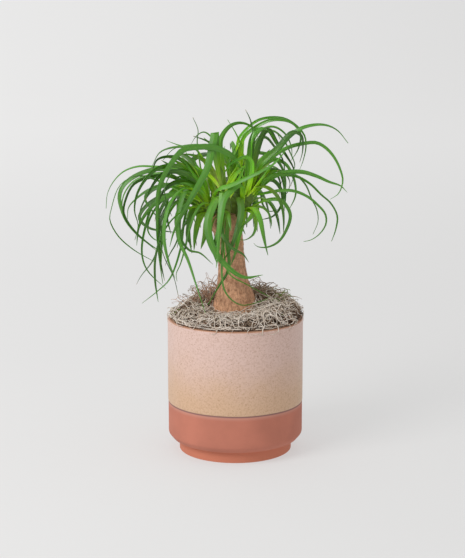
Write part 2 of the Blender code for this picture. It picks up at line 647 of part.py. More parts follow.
class Crown:
    """The leaves placed so far, and the tests that keep a new one clear of the rest."""

    def __init__(self, obstacles):
        self.obstacles = obstacles
        self.leaves = {name: [] for name in HEADS}
        self.whole = {name: [] for name in HEADS}
        self.outer = {name: [] for name in HEADS}
        self.shoots = {name: tree(make_shoot(name, BLADE_CLEAR)) for name in HEADS}

    def clear_of_others(self, leaf):
        """Whether a leaf misses the trunk, the moss, the pot and every other head."""
        test = tree(blade_mesh(leaf.sections, BLADE_CLEAR))
        if any(test.overlap(obstacle) for obstacle in self.obstacles):
            return False
        for other in HEADS:
            if other == leaf.name:
                continue
            if test.overlap(self.shoots[other]):
                return False
            if any(test.overlap(blade) for blade in self.whole[other]):
                return False
        return True

    def clear_of_own(self, leaf):
        """Whether a leaf misses the leaves of its own head, away from their roots."""
        test = tree(blade_mesh(leaf.sections[2:], BLADE_CLEAR))
        return not any(test.overlap(blade) for blade in self.outer[leaf.name])

    def keep(self, leaf):
        """Add a leaf to its head."""
        self.leaves[leaf.name].append(leaf)
        self.whole[leaf.name].append(tree(blade_mesh(leaf.sections)))
        self.outer[leaf.name].append(tree(blade_mesh(leaf.sections[2:])))


def place_leaves(crown):
    """Leaves placed by hand, the heads taking turns."""
    for order in range(max(len(rows) for rows in PLACED.values())):
        for at, (name, rows) in enumerate(PLACED.items()):
            if order < len(rows):
                place_leaf(crown, name, rows[order], random.Random(SEED + 10 * order + at))


def place_leaf(crown, name, row, rng):
    """One leaf placed by hand: it keeps its look from the front and shifts in depth until clear."""
    spare = None
    facing = (row[1] / 100, row[2] / 100)
    for attempt in range(REDRAWS):
        reach = 0.9 * attempt
        shift = (rng.uniform(-reach, reach), rng.uniform(-reach, reach), rng.uniform(-0.03, 0.03))
        leaf = Leaf(name, placed_points(name, row, shift), row[0], facing=facing)
        if not crown.clear_of_others(leaf):
            continue
        if crown.clear_of_own(leaf):
            crown.keep(leaf)
            return
        spare = spare or leaf
    if spare:
        crown.keep(spare)
    else:
        print("no room for a placed leaf of", name, row[-1][-1])


def draw_leaves(crown):
    """Leaves drawn by rule, sort by sort, the heads taking turns."""
    for kind, sort in enumerate(DRAWN):
        for order in range(max(sort["count"].values())):
            for at, (name, count) in enumerate(sort["count"].items()):
                if order < count:
                    rng = random.Random(SEED + 1000 * (kind + 1) + 10 * order + at)
                    draw_leaf(crown, name, sort, order, rng)


def draw_leaf(crown, name, sort, order, rng):
    """One drawn leaf, tried until it misses everything and stays out of the open windows."""
    for _ in range(REDRAWS):
        points = drawn_points(name, sort, order, rng)
        leaf = Leaf(name, points, rng.uniform(*sort["width"]), roll=math.radians(rng.uniform(-45, 45)))
        if in_clear_window(points):
            continue
        if crown.clear_of_others(leaf) and crown.clear_of_own(leaf):
            crown.keep(leaf)
            return
    print("no room for a drawn leaf of", name, sort["length"], order)


def make_head(name, leaves, mat):
    """One head: its shoot and all its leaves fused into one body."""
    obj = add_object(name, make_shoot(name), mat)
    group = bpy.data.collections.new(name + "_leaves")
    bpy.context.scene.collection.children.link(group)
    for i, leaf in enumerate(leaves):
        blade = add_object(f"{name}_leaf_{i}", blade_mesh(leaf.sections))
        bpy.context.scene.collection.objects.unlink(blade)
        group.objects.link(blade)
    apply_boolean(obj, "UNION", collection=group)
    for blade in list(group.objects):
        bpy.data.objects.remove(blade)
    bpy.data.collections.remove(group)
    return obj


def main():
    """Build the whole plant and its pot."""
    for obj in list(bpy.data.objects):
        bpy.data.objects.remove(obj)

    def trunk_cutter():
        return make_trunk(GAP)

    pot = make_pot()
    make_soil(trunk_cutter)
    moss = make_moss(trunk_cutter)
    trunk = add_object("trunk", make_trunk(), material("corky_bark", "A07E62", 0.9))
    for name in HEADS:
        cut(trunk, lambda: make_shoot(name, GAP))

    obstacles = []
    for obj in (pot, moss, trunk):
        bm = bmesh.new()
        bm.from_mesh(obj.data)
        obstacles.append(tree(bm))
        bm.free()
    crown = Crown(obstacles)
    place_leaves(crown)
    draw_leaves(crown)
    green = material("strap_leaf", "4F8A2C", 0.4)
    for name in HEADS:
        obj = make_head(name, crown.leaves[name], green.copy())
        obj.data.shade_smooth()
        obj.data.set_sharp_from_angle(angle=math.radians(40))


main()
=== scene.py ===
"""Looks of a potted ponytail palm: glazed pot, moss dressing, corky trunk and strap leaves.

Every size is in metres, +Z is up and the front of the plant faces -Y. Each piece takes its place
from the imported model, and the leaves follow the same rules as the solids that they replace.
"""

import math
import random

import bmesh
import bpy
from bpy.props import FloatProperty, FloatVectorProperty, PointerProperty
from mathutils import Matrix, Vector, noise
from mathutils.bvhtree import BVHTree


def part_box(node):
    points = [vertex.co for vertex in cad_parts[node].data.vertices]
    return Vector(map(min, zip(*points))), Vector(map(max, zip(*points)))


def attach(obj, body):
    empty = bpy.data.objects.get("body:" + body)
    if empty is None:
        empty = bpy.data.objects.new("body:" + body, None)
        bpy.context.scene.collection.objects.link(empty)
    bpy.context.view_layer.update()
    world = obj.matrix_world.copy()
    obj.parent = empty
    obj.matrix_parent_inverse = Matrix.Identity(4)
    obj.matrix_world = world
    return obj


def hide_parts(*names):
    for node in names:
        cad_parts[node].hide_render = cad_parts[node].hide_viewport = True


bl_info = {
    "name": "Potted ponytail palm",
    "version": (1, 0, 0),
    "blender": (4, 5, 0),
    "location": "3D View > Sidebar > Palm",
    "description": "Dresses the packed model of a ponytail palm in its glazed pot",
    "category": "Object",
}

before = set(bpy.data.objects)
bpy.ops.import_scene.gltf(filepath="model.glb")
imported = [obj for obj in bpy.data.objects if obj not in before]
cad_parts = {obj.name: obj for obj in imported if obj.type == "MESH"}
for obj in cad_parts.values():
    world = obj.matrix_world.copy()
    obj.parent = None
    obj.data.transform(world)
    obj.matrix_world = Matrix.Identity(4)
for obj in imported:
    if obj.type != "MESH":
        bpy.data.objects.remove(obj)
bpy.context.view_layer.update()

MM = 0.001

# Pot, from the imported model's own box
POT_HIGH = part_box("pot")[1]
POT_HEIGHT = POT_HIGH.z
GLAZE_THICKNESS = 0.4 * MM
POT_RADIUS = POT_HIGH.x - GLAZE_THICKNESS
RIM_RADIUS = POT_RADIUS + GLAZE_THICKNESS
POT_WALL = 6 * MM
POT_FLOOR = 22 * MM
FOOT_RADIUS = 69 * MM
FOOT_HEIGHT = 15.5 * MM
BODY_CHAMFER = 5 * MM
RIM_ROUND = 1.8 * MM
POT_STEPS = 160
# How far above and below the glaze line the wall wavers, and how wide one swing is
WAVER_REACH = 5 * MM
WAVER_SWING = 40 * MM

# Trunk: height, radius and sideways lean of its middle, in millimetres
TRUNK_ROWS = (
    (140, 16, 0), (146, 28, 0), (154, 34.5, 0), (164, 34.5, 0), (173, 31, 0.3), (182, 27.3, 0),
    (191, 24.3, -0.8), (201, 21.6, -1.8), (212, 18.8, -2.8), (226, 17.1, -4), (242, 16.3, -5.2),
    (257, 16.3, -6.5), (268, 17.4, -8.6), (277, 19.8, -11.2), (284, 20.6, -12.6), (290, 17.5, -13),
)
TRUNK_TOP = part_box("trunk")[1].z
TRUNK_BACK = 1.5 * MM
TRUNK_STEPS = 200
TRUNK_LAYERS = 230
DOME_LAYERS = 8
# Height from which the trunk leans back and its bark changes, and the stretches over which they do
NECK = 200 * MM
NECK_LEAN = 80 * MM
NECK_BARK = 50 * MM
RIDGE_HEIGHT = 0.55 * MM

# Leaf heads: foot and tip of each shoot, in millimetres
HEADS = {
    "head_left": ((-25, -3, 281), (-45, -7, 334)),
    "head_front": ((-13, -9.5, 281), (-12, -20, 328)),
    "head_right": ((0, -2, 280), (24, -7, 334)),
    "head_top": ((-3, 10.5, 282), (8, 16, 352)),
    "head_rear": ((-19, 12.5, 281), (-26, 30, 332)),
}
STEM_RADIUS = 5 * MM
# Share of the shoot's length, and radius as a share of the stem's
SHOOT_ROWS = ((0, 1), (0.27, 1), (0.38, 1.45), (0.6, 1.4), (0.82, 0.9), (1, 0.3))
SHOOT_STEPS = 9
SHOOT_POINT = 0.3 * MM
# The dressed shoot, in the lapping bases of its leaves: one turn of a base climbs by WRAP_PITCH
FINE_SHOOT_STEPS = 36
FINE_SHOOT_LAYERS = 48
WRAP_PITCH = 7 * MM
WRAP_DEPTH = 0.14

# Leaf blades. One narrower than NARROW_BLADE has three sides, and its upper face is flat
BLADE_THICKNESS = 0.8 * MM
BLADE_FOLD = 0.12
NARROW_BLADE = 5.3
BLADE_CLEAR = 0.45 * MM
# The camera's angle above the level, and how it shows depth as height
VIEW_PITCH = math.radians(12.3)
SEEN_TILT = math.tan(VIEW_PITCH)
FRONT = Vector((0, -1, SEEN_TILT)).normalized()
# Share of its length by which a blade has turned to face the front
TURNED_BY = 0.35
# A route has a segment for each TURN_PER_SEGMENT degrees that it turns, and some more
SPARE_SEGMENTS = 2.9
TURN_PER_SEGMENT = 32
SEGMENTS = (5, 12)
REDRAWS = 60
# Share of the shoot between which placed leaves root, and how far a root and a depth may stray: a depth
# by so many millimetres more at each try
PLACED_ROOTS = (0.33, 0.77)
ROOT_STRAY = 0.03
DEPTH_STRAY = 0.9
# Drawn leaves stand at turns of the golden ratio, give or take, arch over at a share of their length,
# and swing round and roll over by up to so many degrees
GOLDEN_TURN = 0.618
TURN_STRAY = 0.12
ARCH_AT = (0.3, 0.52)
RISE_STRAY = 8
SWING_STRAY = 50
ROLL_STRAY = 45

# Dressed blades: cells along and across
BLADE_ALONG = 40
BLADE_ACROSS = 6
# The most that a blade turns about its own middle by its tip, and the power that makes it turn late
BLADE_TWIST = math.radians(75)
LATE_TWIST = 1.4
# Width as a share of the solid's at the root, what it loses by the tip, and the least width
BLADE_SLIM = 0.99
BLADE_SLIMMING = 0.1
LEAST_WIDTH = 0.25 * MM
# Height of the faint waves in a blade's face
RIPPLE = 0.2 * MM
# Leaves that root below this share of the shoot are older, fully so by OLD_SPAN further down, and the
# colours of an old leaf start OLD_SHIFT tenths of a metre further out
OLD_BELOW = 0.66
OLD_SPAN = 0.3
OLD_SHIFT = 0.2
TINT_SEED = 48770

# Leaves that are listed for each head: width, how far the blade turns its face to the front at
# its middle and at its tip in percent, nearness at the middle and at the tip, and points of the route
# after its root, as across and height. Heights are as seen from VIEW_PITCH above the level, so a
# point's nearness doesn't move it in the front view. Millimetres
PLACED = {
    "head_left": (
        (6.4, 80, 95, 44, 30, ((-22, 322), (-8, 326), (11, 334), (28, 342), (46, 353), (62, 372))),
        (2.4, 60, 60, 4, -2, ((-42, 350), (-46, 380), (-45, 396), (-51, 411))),
        (3.4, 60, 40, 12, 6, ((-60, 343), (-85, 350), (-99, 351), (-117, 351), (-134, 345),
         (-147, 332), (-154, 318), (-156, 300))),
        (8.0, 55, 95, 24, 30, ((-70, 344), (-91, 348), (-109, 344), (-126, 335), (-136, 324),
         (-139, 312), (-136, 297), (-130, 283), (-118, 268), (-101, 254), (-88, 246))),
        (3.4, 50, 40, -10, -16, ((-80, 343), (-108, 341), (-125, 333), (-136, 317), (-138, 300),
         (-133, 284))),
        (5.6, 75, 50, 38, 40, ((-75, 338), (-105, 336), (-121, 328), (-130, 311), (-133, 292),
         (-121, 272), (-95, 248))),
        (6.4, 75, 40, 54, 58, ((-62, 348), (-90, 347), (-106, 333), (-116, 315), (-119, 295),
         (-115, 278), (-119, 260))),
        (6.0, 75, 45, -20, -24, ((-75, 330), (-104, 325), (-122, 313), (-131, 302), (-132, 288))),
        (4.2, 60, 40, -34, -40, ((-72, 328), (-100, 325), (-112, 312), (-118, 296), (-119, 280))),
        (4.6, 70, 60, 2, 10, ((-80, 328), (-104, 323), (-109, 312), (-103, 301), (-94, 290),
         (-84, 287))),
        (6.2, 80, 50, 14, 20, ((-68, 318), (-92, 309), (-107, 294), (-116, 277), (-119, 254))),
        (3.6, 45, 35, 50, 36, ((-112, 338), (-130, 332), (-139, 322), (-147, 297), (-149, 285),
         (-140, 266), (-122, 249), (-97, 234))),
        (6.2, 90, 80, -30, -10, ((-80, 318), (-108, 306), (-118, 289), (-106, 277), (-88, 273),
         (-72, 271))),
        (6.6, 75, 50, 30, 34, ((-55, 350), (-72, 361), (-92, 358), (-99, 344))),
        (7.6, 80, 55, 40, 48, ((-52, 337), (-68, 343), (-86, 340), (-98, 326), (-106, 308))),
        (8.4, 80, 70, 0, -16, ((-47, 348), (-58, 363), (-70, 367), (-80, 362))),
        (7.6, 80, 55, 30, 36, ((-54, 330), (-72, 331), (-86, 320), (-93, 303), (-96, 283))),
        (6.8, 90, 80, 26, 30, ((-40, 326), (-50, 341), (-58, 352), (-66, 358))),
        (6.8, 90, 80, 22, 24, ((-42, 322), (-54, 333), (-64, 338), (-74, 337))),
        (6.4, 85, 80, 28, 34, ((-36, 328), (-43, 343), (-48, 356), (-50, 366))),
        (6.2, 85, 80, 34, 40, ((-40, 318), (-52, 326), (-62, 329), (-70, 326))),
        (9.0, 95, 95, 30, 32, ((-42, 302), (-50, 296), (-55, 280), (-57, 264), (-52, 252))),
        (8.6, 95, 90, 16, 18, ((-38, 297), (-45, 282), (-48, 266), (-50, 248))),
        (8.0, 90, 85, 6, 4, ((-33, 292), (-35, 280), (-37, 266), (-42, 250))),
        (4.4, 70, 70, 36, 22, ((-62, 300), (-66, 265), (-55, 248), (-43, 245), (-27, 231))),
        (6.8, 80, 70, 38, 50, ((-58, 322), (-68, 295), (-68, 262), (-57, 236), (-47, 205),
         (-36, 171))),
        (5.2, 70, 60, -6, -12, ((-72, 320), (-92, 296), (-93, 265), (-87, 240), (-75, 213),
         (-70, 191))),
    ),
    "head_front": (
        (8.4, 85, 25, 14, 6, ((-17, 360), (-17, 384), (-5, 400), (8, 403), (20, 398), (27, 387))),
        (10.2, 95, 95, 44, 52, ((-22, 360), (-24, 384), (-24.5, 392), (-25.5, 384), (-29, 366),
         (-34, 345), (-45, 324), (-60, 297), (-73, 270), (-78, 252))),
        (3.0, 60, 50, 8, 2, ((-22, 370), (-29, 387), (-38, 393), (-47, 388), (-53, 379))),
        (3.6, 70, 60, 34, 38, ((-38, 306), (-52, 285), (-60, 252), (-66, 231), (-71, 219),
         (-70, 210))),
        (10.1, 75, 70, 44, 50, ((-20, 314), (-31, 292), (-33, 275), (-27, 251), (-12, 230),
         (10, 215), (33, 218))),
        (8.3, 65, 60, 38, 36, ((-15, 320), (-17, 300), (-20, 272), (-26, 249), (-22, 231))),
        (6.0, 70, 60, 40, 48, ((-18, 302), (-19, 282), (-14, 264), (-3, 250), (9, 243), (16, 233))),
        (5.6, 65, 60, 36, 48, ((-9, 300), (-10, 262), (-8, 225), (-19, 205), (-33, 181))),
        (2.4, 60, 40, 38, 40, ((-13, 296), (-14, 255), (-8, 220), (14, 206), (41, 191))),
        (2.8, 60, 60, 42, 58, ((-10, 300), (-14, 280), (-16, 250), (-16, 215), (-13, 199),
         (-4, 187), (7, 181), (18, 182), (39, 189))),
        (6.2, 85, 70, 22, 16, ((-17, 344), (-24, 357), (-29, 366))),
    ),
    "head_right": (
        (7.6, 90, 85, 50, 40, ((8, 345), (0, 358), (-6, 364), (-26, 372), (-43, 372), (-62, 368),
         (-76, 351), (-86, 333), (-91, 315), (-92, 290), (-92, 262), (-90, 234), (-87, 207))),
        (8.2, 95, 15, 16, 22, ((26, 347), (36, 361), (52, 373), (65, 387), (81, 397), (104, 400),
         (120, 394), (134, 378))),
        (8.4, 80, 60, -8, -14, ((25, 366), (34, 392), (39, 397), (50, 380), (62, 364), (71, 346),
         (67, 328))),
        (5.2, 75, 50, 4, 10, ((27, 347), (50, 367), (65, 375), (81, 379), (97, 380), (108, 374),
         (118, 363), (126, 347), (129, 333), (124, 318), (114, 311))),
        (8.6, 95, 60, 22, 10, ((28, 350), (50, 372), (68, 391), (78, 387), (80, 370), (77, 356))),
        (8.1, 80, 60, 12, -6, ((17, 350), (18, 376), (23, 391), (33, 397), (45, 388), (52, 374))),
        (4.4, 80, 60, 8, -8, ((18, 352), (22, 385), (18, 408), (12, 421))),
        (6.6, 60, 90, 12, 18, ((34, 330), (46, 339), (61, 344), (81, 344), (97, 339), (112, 332),
         (126, 327), (134, 319))),
        (6.6, 65, 40, 22, 30, ((35, 334), (48, 341), (61, 341), (73, 339), (89, 330), (103, 316),
         (114, 306), (122, 290), (120, 273), (115, 259))),
        (3.2, 50, 45, -6, -18, ((45, 345), (72, 342), (85, 330), (93, 312), (99, 300), (101, 285),
         (95, 269))),
        (4.4, 70, 50, 14, 22, ((18, 314), (36, 319), (56, 322), (71, 321), (87, 314), (99, 304),
         (108, 293), (109, 281), (102, 269), (91, 261), (82, 259))),
        (5.4, 85, 60, -14, -6, ((28, 328), (44, 336), (55, 325), (57, 308), (47, 292), (30, 286))),
        (4.0, 80, 60, -26, -26, ((30, 322), (34, 306), (42, 298), (52, 300))),
        (5.0, 75, 60, 20, 26, ((36, 310), (54, 310), (63, 300), (66, 290), (62, 275), (52, 259),
         (38, 252), (26, 253), (22, 257))),
        (8.0, 70, 50, 34, 30, ((21, 301), (29, 288), (34, 265), (39, 242))),
        (5.8, 85, 60, 8, 20, ((20, 297), (25, 283), (22, 268), (12, 261), (2, 262))),
        (8.5, 75, 75, 26, 24, ((22, 295), (16, 285), (6, 275))),
        (6.6, 90, 80, 26, 36, ((20, 347), (19, 356), (13, 361), (3, 358), (-7, 351), (-10, 343))),
        (8.3, 90, 80, 46, 50, ((7, 329), (-4, 322), (-13, 310), (-17, 290), (-20, 262), (-21, 240),
         (-23, 226))),
        (9.0, 70, 65, 34, 36, ((5, 313), (7, 298), (4, 280), (-4, 255), (-13, 237))),
        (7.2, 65, 60, 28, 26, ((10, 300), (8, 282), (3, 262), (-1, 243), (-6, 229))),
        (8.2, 90, 60, 10, 4, ((14, 340), (16, 362), (17, 382), (22, 396))),
        (5.4, 50, 45, -26, -36, ((34, 352), (48, 362), (62, 356), (72, 338), (74, 318), (66, 300))),
    ),
    "head_top": (
        (3.8, 60, 55, -12, -4, ((3, 383), (8, 392), (26, 408), (44, 412), (60, 410), (73, 402),
         (83, 390), (85, 376), (81, 357), (77, 347))),
        (5.0, 75, 50, -2, 12, ((9, 385), (22, 398), (45, 408), (68, 404), (78, 390), (75, 372),
         (66, 357))),
        (3.6, 60, 45, -26, -30, ((25, 391), (35, 400), (47, 402), (60, 394), (68, 378), (69, 362))),
        (3.2, 55, 50, -38, -50, ((30, 392), (42, 398), (50, 397), (55, 388))),
        (4.4, 60, 50, -30, -34, ((40, 350), (60, 346), (67, 334), (64, 322), (56, 313))),
        (4.2, 60, 50, -20, -22, ((38, 345), (50, 343), (55, 330), (53, 317))),
        (3.0, 60, 50, -8, -14, ((8, 372), (2, 389), (-4, 400), (-9.5, 409))),
        (9.2, 85, 85, -34, -78, ((0, 370), (-5, 386), (-6, 378))),
        (6.0, 85, 60, -14, -10, ((-10, 364), (-35, 375), (-60, 377), (-80, 375), (-92, 369),
         (-101, 352))),
        (4.2, 60, 50, -30, -34, ((-12, 366), (-36, 379), (-60, 380), (-76, 375), (-88, 362))),
        (7.5, 85, 85, -6, -6, ((-8, 352), (-4, 366), (4, 382))),
        (6.5, 85, 85, -12, -14, ((-2, 356), (4, 372), (12, 390))),
        (6.0, 45, 45, -30, -20, ((22, 380), (36, 390), (48, 378), (58, 362), (60, 345), (54, 328))),
        (5.5, 45, 45, -42, -46, ((18, 370), (32, 371), (46, 367), (58, 352), (62, 330), (56, 312))),
        (4.6, 40, 40, -22, -10, ((30, 388), (44, 397), (56, 389), (66, 371), (72, 352), (64, 340))),
    ),
    "head_rear": (
        (2.9, 60, 50, -22, -26, ((-48, 374), (-68, 379), (-84, 385))),
        (3.6, 60, 50, -44, -40, ((-50, 330), (-66, 300), (-72, 262), (-82, 243), (-87, 230))),
        (4.0, 60, 50, -60, -64, ((-60, 335), (-96, 318), (-112, 280), (-117, 246), (-111, 225),
         (-87, 200))),
        (3.6, 60, 50, -52, -60, ((-55, 330), (-84, 300), (-94, 260), (-104, 235), (-118, 217),
         (-124, 206))),
        (3.4, 60, 50, -36, -34, ((-48, 325), (-62, 290), (-68, 250), (-82, 212), (-96, 198),
         (-116, 182))),
        (3.6, 60, 50, -40, -24, ((-62, 328), (-96, 305), (-108, 275), (-98, 262), (-84, 263))),
    ),
}

# Sector of azimuths that the drawn leaves of each head fan over, in degrees
SECTORS = {
    "head_left": (105, 240),
    "head_front": (190, 350),
    "head_right": (-60, 120),
    "head_top": (-10, 200),
    "head_rear": (30, 235),
}
# Leaves that are drawn by rule, in the order that they take their places. For each sort: how many
# on each head, length and width in millimetres, where on the shoot they root, and the slopes that
# they set out and end at, in degrees
DRAWN = (
    {
        "count": {"head_left": 5, "head_front": 4, "head_right": 5, "head_top": 5, "head_rear": 4},
        "length": (55, 85), "width": (7, 9), "root": (0.45, 0.8),
        "rise": (62, 84), "fall": (10, 50),
    },
    {
        "count": {"head_left": 3, "head_front": 2, "head_right": 3, "head_top": 2, "head_rear": 4},
        "length": (42, 78), "width": (5.5, 7.5), "root": (0.28, 0.36),
        "rise": (5, 40), "fall": (-118, -55),
    },
    {
        "count": {"head_left": 7, "head_front": 0, "head_right": 6, "head_top": 8, "head_rear": 15},
        "length": (95, 185), "width": (6, 9.5), "root": (0.34, 0.72),
        "rise": (14, 76), "fall": (-122, -78),
    },
)
SEED = 41

# Windows of the front view that no drawn leaf enters: across and height, low and high
CLEAR_WINDOWS = (
    ((-15, 200), (100, 268)),
    ((66, 200), (100, 420)),
    ((-200, -98), (100, 420)),
    ((-60, -15), (100, 235)),
    ((-200, 200), (398, 500)),
)

# Moss. In front of the trunk it was pressed down, most at the trunk's foot
DIP_DEPTH = 8 * MM
DIP_REACH = 60 * MM
DIP_SLOPE = 24 * MM
# Its mat: how far the lumps stand up, and how far the middle lies below the solid's, so that strands
# cover it
LUMP_HEIGHT = 1.3 * MM
MAT_SINK = 2.2 * MM
MAT_SLOPE = 16 * MM
MOSS_SEED = 7
STRAND_STEPS = 26
STRAND_SIDES = 4
STRAND_LENGTHS = (24, 54)
STRAND_TAPER = 0.65
# Bleached strands lie in front, and this share of them on the far slope behind. Degrees
FRONT_SECTOR = (-168, -2)
FAR_SECTOR = (10, 182)
FAR_SHARE = 0.32
# Shares of the pot's area between which strands start, everywhere and on the far slope
START_AREA = (0.08, 0.86)
FAR_AREA = (0.42, 0.86)
# How far inside the rim a strand turns back, how much further it gets at the right, and how far the
# bleached ones may spill past that: half of them don't. Millimetres
BRINK = 3.2
BLEACHED_BRINK = 2.4
RIGHT_BRINK = 3
SPILLS = (0, 0, 0, 0, 0, 1, 2, 4, 7, 11)
# How much higher the moss swells at the right, and the share of the way to the rim where that sets in
RIGHT_SWELL = 2.8 * MM
SWELL_FROM = 0.45
SWELL_SPAN = 0.4
# Share of the way to the rim where the humps of a strand start to flatten, and by how much they do
CALM_FROM = 0.86
CALM_SPAN = 0.1
CALM = 0.75
# How far outside the pot's wall a strand hangs, how high it lies on the rim, and the most steps in which
# one that starts inside the trunk is moved outwards
HANG_GAP = 0.7 * MM
HANG_RISE = 0.5 * MM
RIM_RISE = 0.6 * MM
RIM_BAND = 8 * MM
ESCAPE_STEPS = 40
# Strands of one shade: how many, colour of their shadows, how high they lie, how far they hump, and
# their girth as a share of the usual. Millimetres
SHADES = (
    ("brown", 480, "56442F", (-1.6, 0.6), 1, 0.95),
    ("tan", 300, "8A7664", (-0.6, 2.2), 1.6, 1),
    ("pale", 380, "CDBDAC", (1, 6), 3, 1.12),
    ("rust", 30, "A58470", (-0.5, 2), 1.6, 0.8),
    ("sprig", 8, "4E6B2A", (0.5, 2.5), 2, 1),
)
# Loose strands that stand up: shade, how many, azimuth and spread, distance from the middle, how high
# they climb and how long they are. Angles in degrees, sizes in millimetres
WISPS = (
    ("rust", 24, (158, 18), (26, 44), (6, 26), 32),
    ("rust", 6, (168, 10), (27, 32), (24, 40), 30),
    ("rust", 16, (150, 30), (34, 62), (3, 12), 34),
    ("tan", 18, (-90, 85), (31, 38), (2, 6), 26),
    ("pale", 12, (-85, 75), (32, 38), (3, 8), 28),
    ("rust", 26, (140, 34), (38, 66), (3, 11), 32),
    ("rust", 10, (50, 30), (36, 60), (4, 14), 34),
    ("tan", 16, (20, 16), (30, 46), (8, 20), 40),
    ("tan", 16, (145, 30), (36, 62), (6, 18), 36),
    ("tan", 20, (30, 26), (42, 68), (4, 12), 36),
    ("tan", 14, (0, 30), (58, 74), (2, 8), 28),
    ("pale", 12, (178, 24), (62, 74), (1, 5), 28),
    ("pale", 16, (-6, 24), (58, 75), (1, 7), 30),
    ("tan", 14, (4, 24), (56, 75), (1, 8), 30),
    ("pale", 16, (-90, 60), (58, 74), (1, 4), 26),
    ("sprig", 8, (-60, 80), (44, 70), (1, 5), 26),
    ("sprig", 6, (15, 25), (46, 62), (6, 14), 30),
)
# How far round its arch a loose strand gets, in radians
WISP_ARCH = 2.4

# Stage, in metres: a floor that sweeps up into a wall, one large soft lamp, and the camera
FLOOR_HALF = 6
FLOOR_FRONT = -4
SWEEP_RADIUS = 3
WALL_TOP = 8
KEY_PLACE = Vector((-1.7, -1.5, 1.7))
KEY_AIM = Vector((0, 0, 0.22))
KEY_SIZE = 1.3
CAMERA_AIM = Vector((-3.5, 0, 212.9)) * MM
CAMERA_DISTANCE = 2.25
SENSOR_WIDTH = 36
# Light from below and from above, as shares of the even light
SKY_SHARES = (0.68, 1.16)


def linear(code):
    """Linear colour of an sRGB hex code."""
    shares = [int(code[i:i + 2], 16) / 255 for i in (0, 2, 4)]
    return [c / 12.92 if c <= 0.04045 else ((c + 0.055) / 1.055) ** 2.4 for c in shares]


def held(value):
    """A value held between 0 and 1."""
    return min(1, max(0, value))


def per(size):
    """Scale, to two figures, of a pattern whose swings or cells are so many millimetres wide."""
    return float(f"{1 / (size * MM):.2g}")


def plug(tree, node, links):
    """Link a node's inputs to their sources. A source that is a node stands for its first output."""
    for name, source in links.items():
        output = source.outputs[0] if isinstance(source, bpy.types.Node) else source
        tree.links.new(output, node.inputs[name])


def adjust(node, settings):
    """Set a node's properties or inputs by name."""
    for name, value in settings.items():
        if isinstance(name, str) and hasattr(node, name):
            setattr(node, name, value)
        else:
            socket = node.inputs[name]
            no_alpha = socket.type == "RGBA" and len(value) == 3
            socket.default_value = (*value, 1) if no_alpha else value


def add_node(tree, kind, settings=None, links=None):
    """Add a shader node. Settings name its properties or inputs, and links its linked inputs.

    Of a Mix node that mixes colours, 6 and 7 are the colours and output 2 is the result.
    """
    node = tree.nodes.new("ShaderNode" + kind)
    adjust(node, settings or {})
    plug(tree, node, links or {})
    return node


def set_stops(node, stops):
    """Give a colour ramp its stops, as pairs of place and linear colour, the last one short of 1."""
    elements = node.color_ramp.elements
    for at, colour in stops:
        stop = elements.new(at)
        stop.color = (*colour, 1)
    # The two that every ramp starts with
    elements.remove(elements[0])
    elements.remove(elements[-1])


def new_finish(name):
    """An empty material, its node tree and its Principled shader."""
    mat = bpy.data.materials.new(name)
    mat.use_nodes = True
    return mat, mat.node_tree, mat.node_tree.nodes["Principled BSDF"]


def add_piece(name, bm, mats, replaced=()):
    """Make a piece of a bmesh, riding on the body and standing for its nodes."""
    mesh = bpy.data.meshes.new(name)
    bm.to_mesh(mesh)
    bm.free()
    return dress(bpy.data.objects.new(name, mesh), mats, replaced)


def dress(obj, mats, replaced=()):
    bpy.context.scene.collection.objects.link(obj)
    obj.data.materials.clear()
    for mat in mats:
        obj.data.materials.append(mat)
    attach(obj, "root")
    if replaced:
        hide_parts(*replaced)
    return obj


def smooth(obj, angle):
    """Shade a piece smooth, apart from edges sharper than an angle in degrees."""
    obj.data.shade_smooth()
    obj.data.set_sharp_from_angle(angle=math.radians(angle))


def finished_mesh(obj):
    """An object's mesh as it shows, with its modifiers or its curve's bevel."""
    bpy.context.view_layer.update()
    shown = obj.evaluated_get(bpy.context.evaluated_depsgraph_get())
    return bpy.data.meshes.new_from_object(shown)


def spun(profile, steps):
    """A closed body of revolution about Z, from a profile of (radius, height) pairs."""
    bm = bmesh.new()
    verts = [bm.verts.new((r, 0, z)) for r, z in profile]
    edges = [bm.edges.new(pair) for pair in zip(verts, verts[1:])]
    bmesh.ops.spin(bm, geom=verts + edges, cent=(0, 0, 0), axis=(0, 0, 1),
                   angle=2 * math.pi, steps=steps, use_merge=True)
    bmesh.ops.remove_doubles(bm, verts=bm.verts, dist=0.01 * MM)
    bmesh.ops.recalc_face_normals(bm, faces=bm.faces)
    return bm


def arc(centre, radius, start, end, count):
    """Points of a profile's rounded corner, angles in degrees."""
    angles = [math.radians(start + (end - start) * i / count) for i in range(count + 1)]
    return [(centre[0] + radius * math.cos(a), centre[1] + radius * math.sin(a)) for a in angles]


def rows_at(rows, z):
    """The second and third values of a table's rows, read smoothly at the first."""
    last = len(rows) - 2
    at = max(0, min(last, sum(1 for row in rows[1:] if row[0] <= z)))
    low, high = rows[at], rows[at + 1]
    before, after = rows[max(0, at - 1)], rows[min(last + 1, at + 2)]
    span = high[0] - low[0]
    t = held((z - low[0]) / span)
    values = []
    for column in (1, 2):
        slope_low = (high[column] - before[column]) / (high[0] - before[0]) * span
        slope_high = (after[column] - low[column]) / (after[0] - low[0]) * span
        values.append(low[column] * (2 * t ** 3 - 3 * t ** 2 + 1) + slope_low * (t ** 3 - 2 * t ** 2 + t)
                      + high[column] * (3 * t ** 2 - 2 * t ** 3) + slope_high * (t ** 3 - t ** 2))
    return values


def colour_setting(name, description, code):
    """Colour that the user can change, with an sRGB hex code as its default."""
    return FloatVectorProperty(
        name=name, description=description, size=3, subtype="COLOR", default=linear(code))


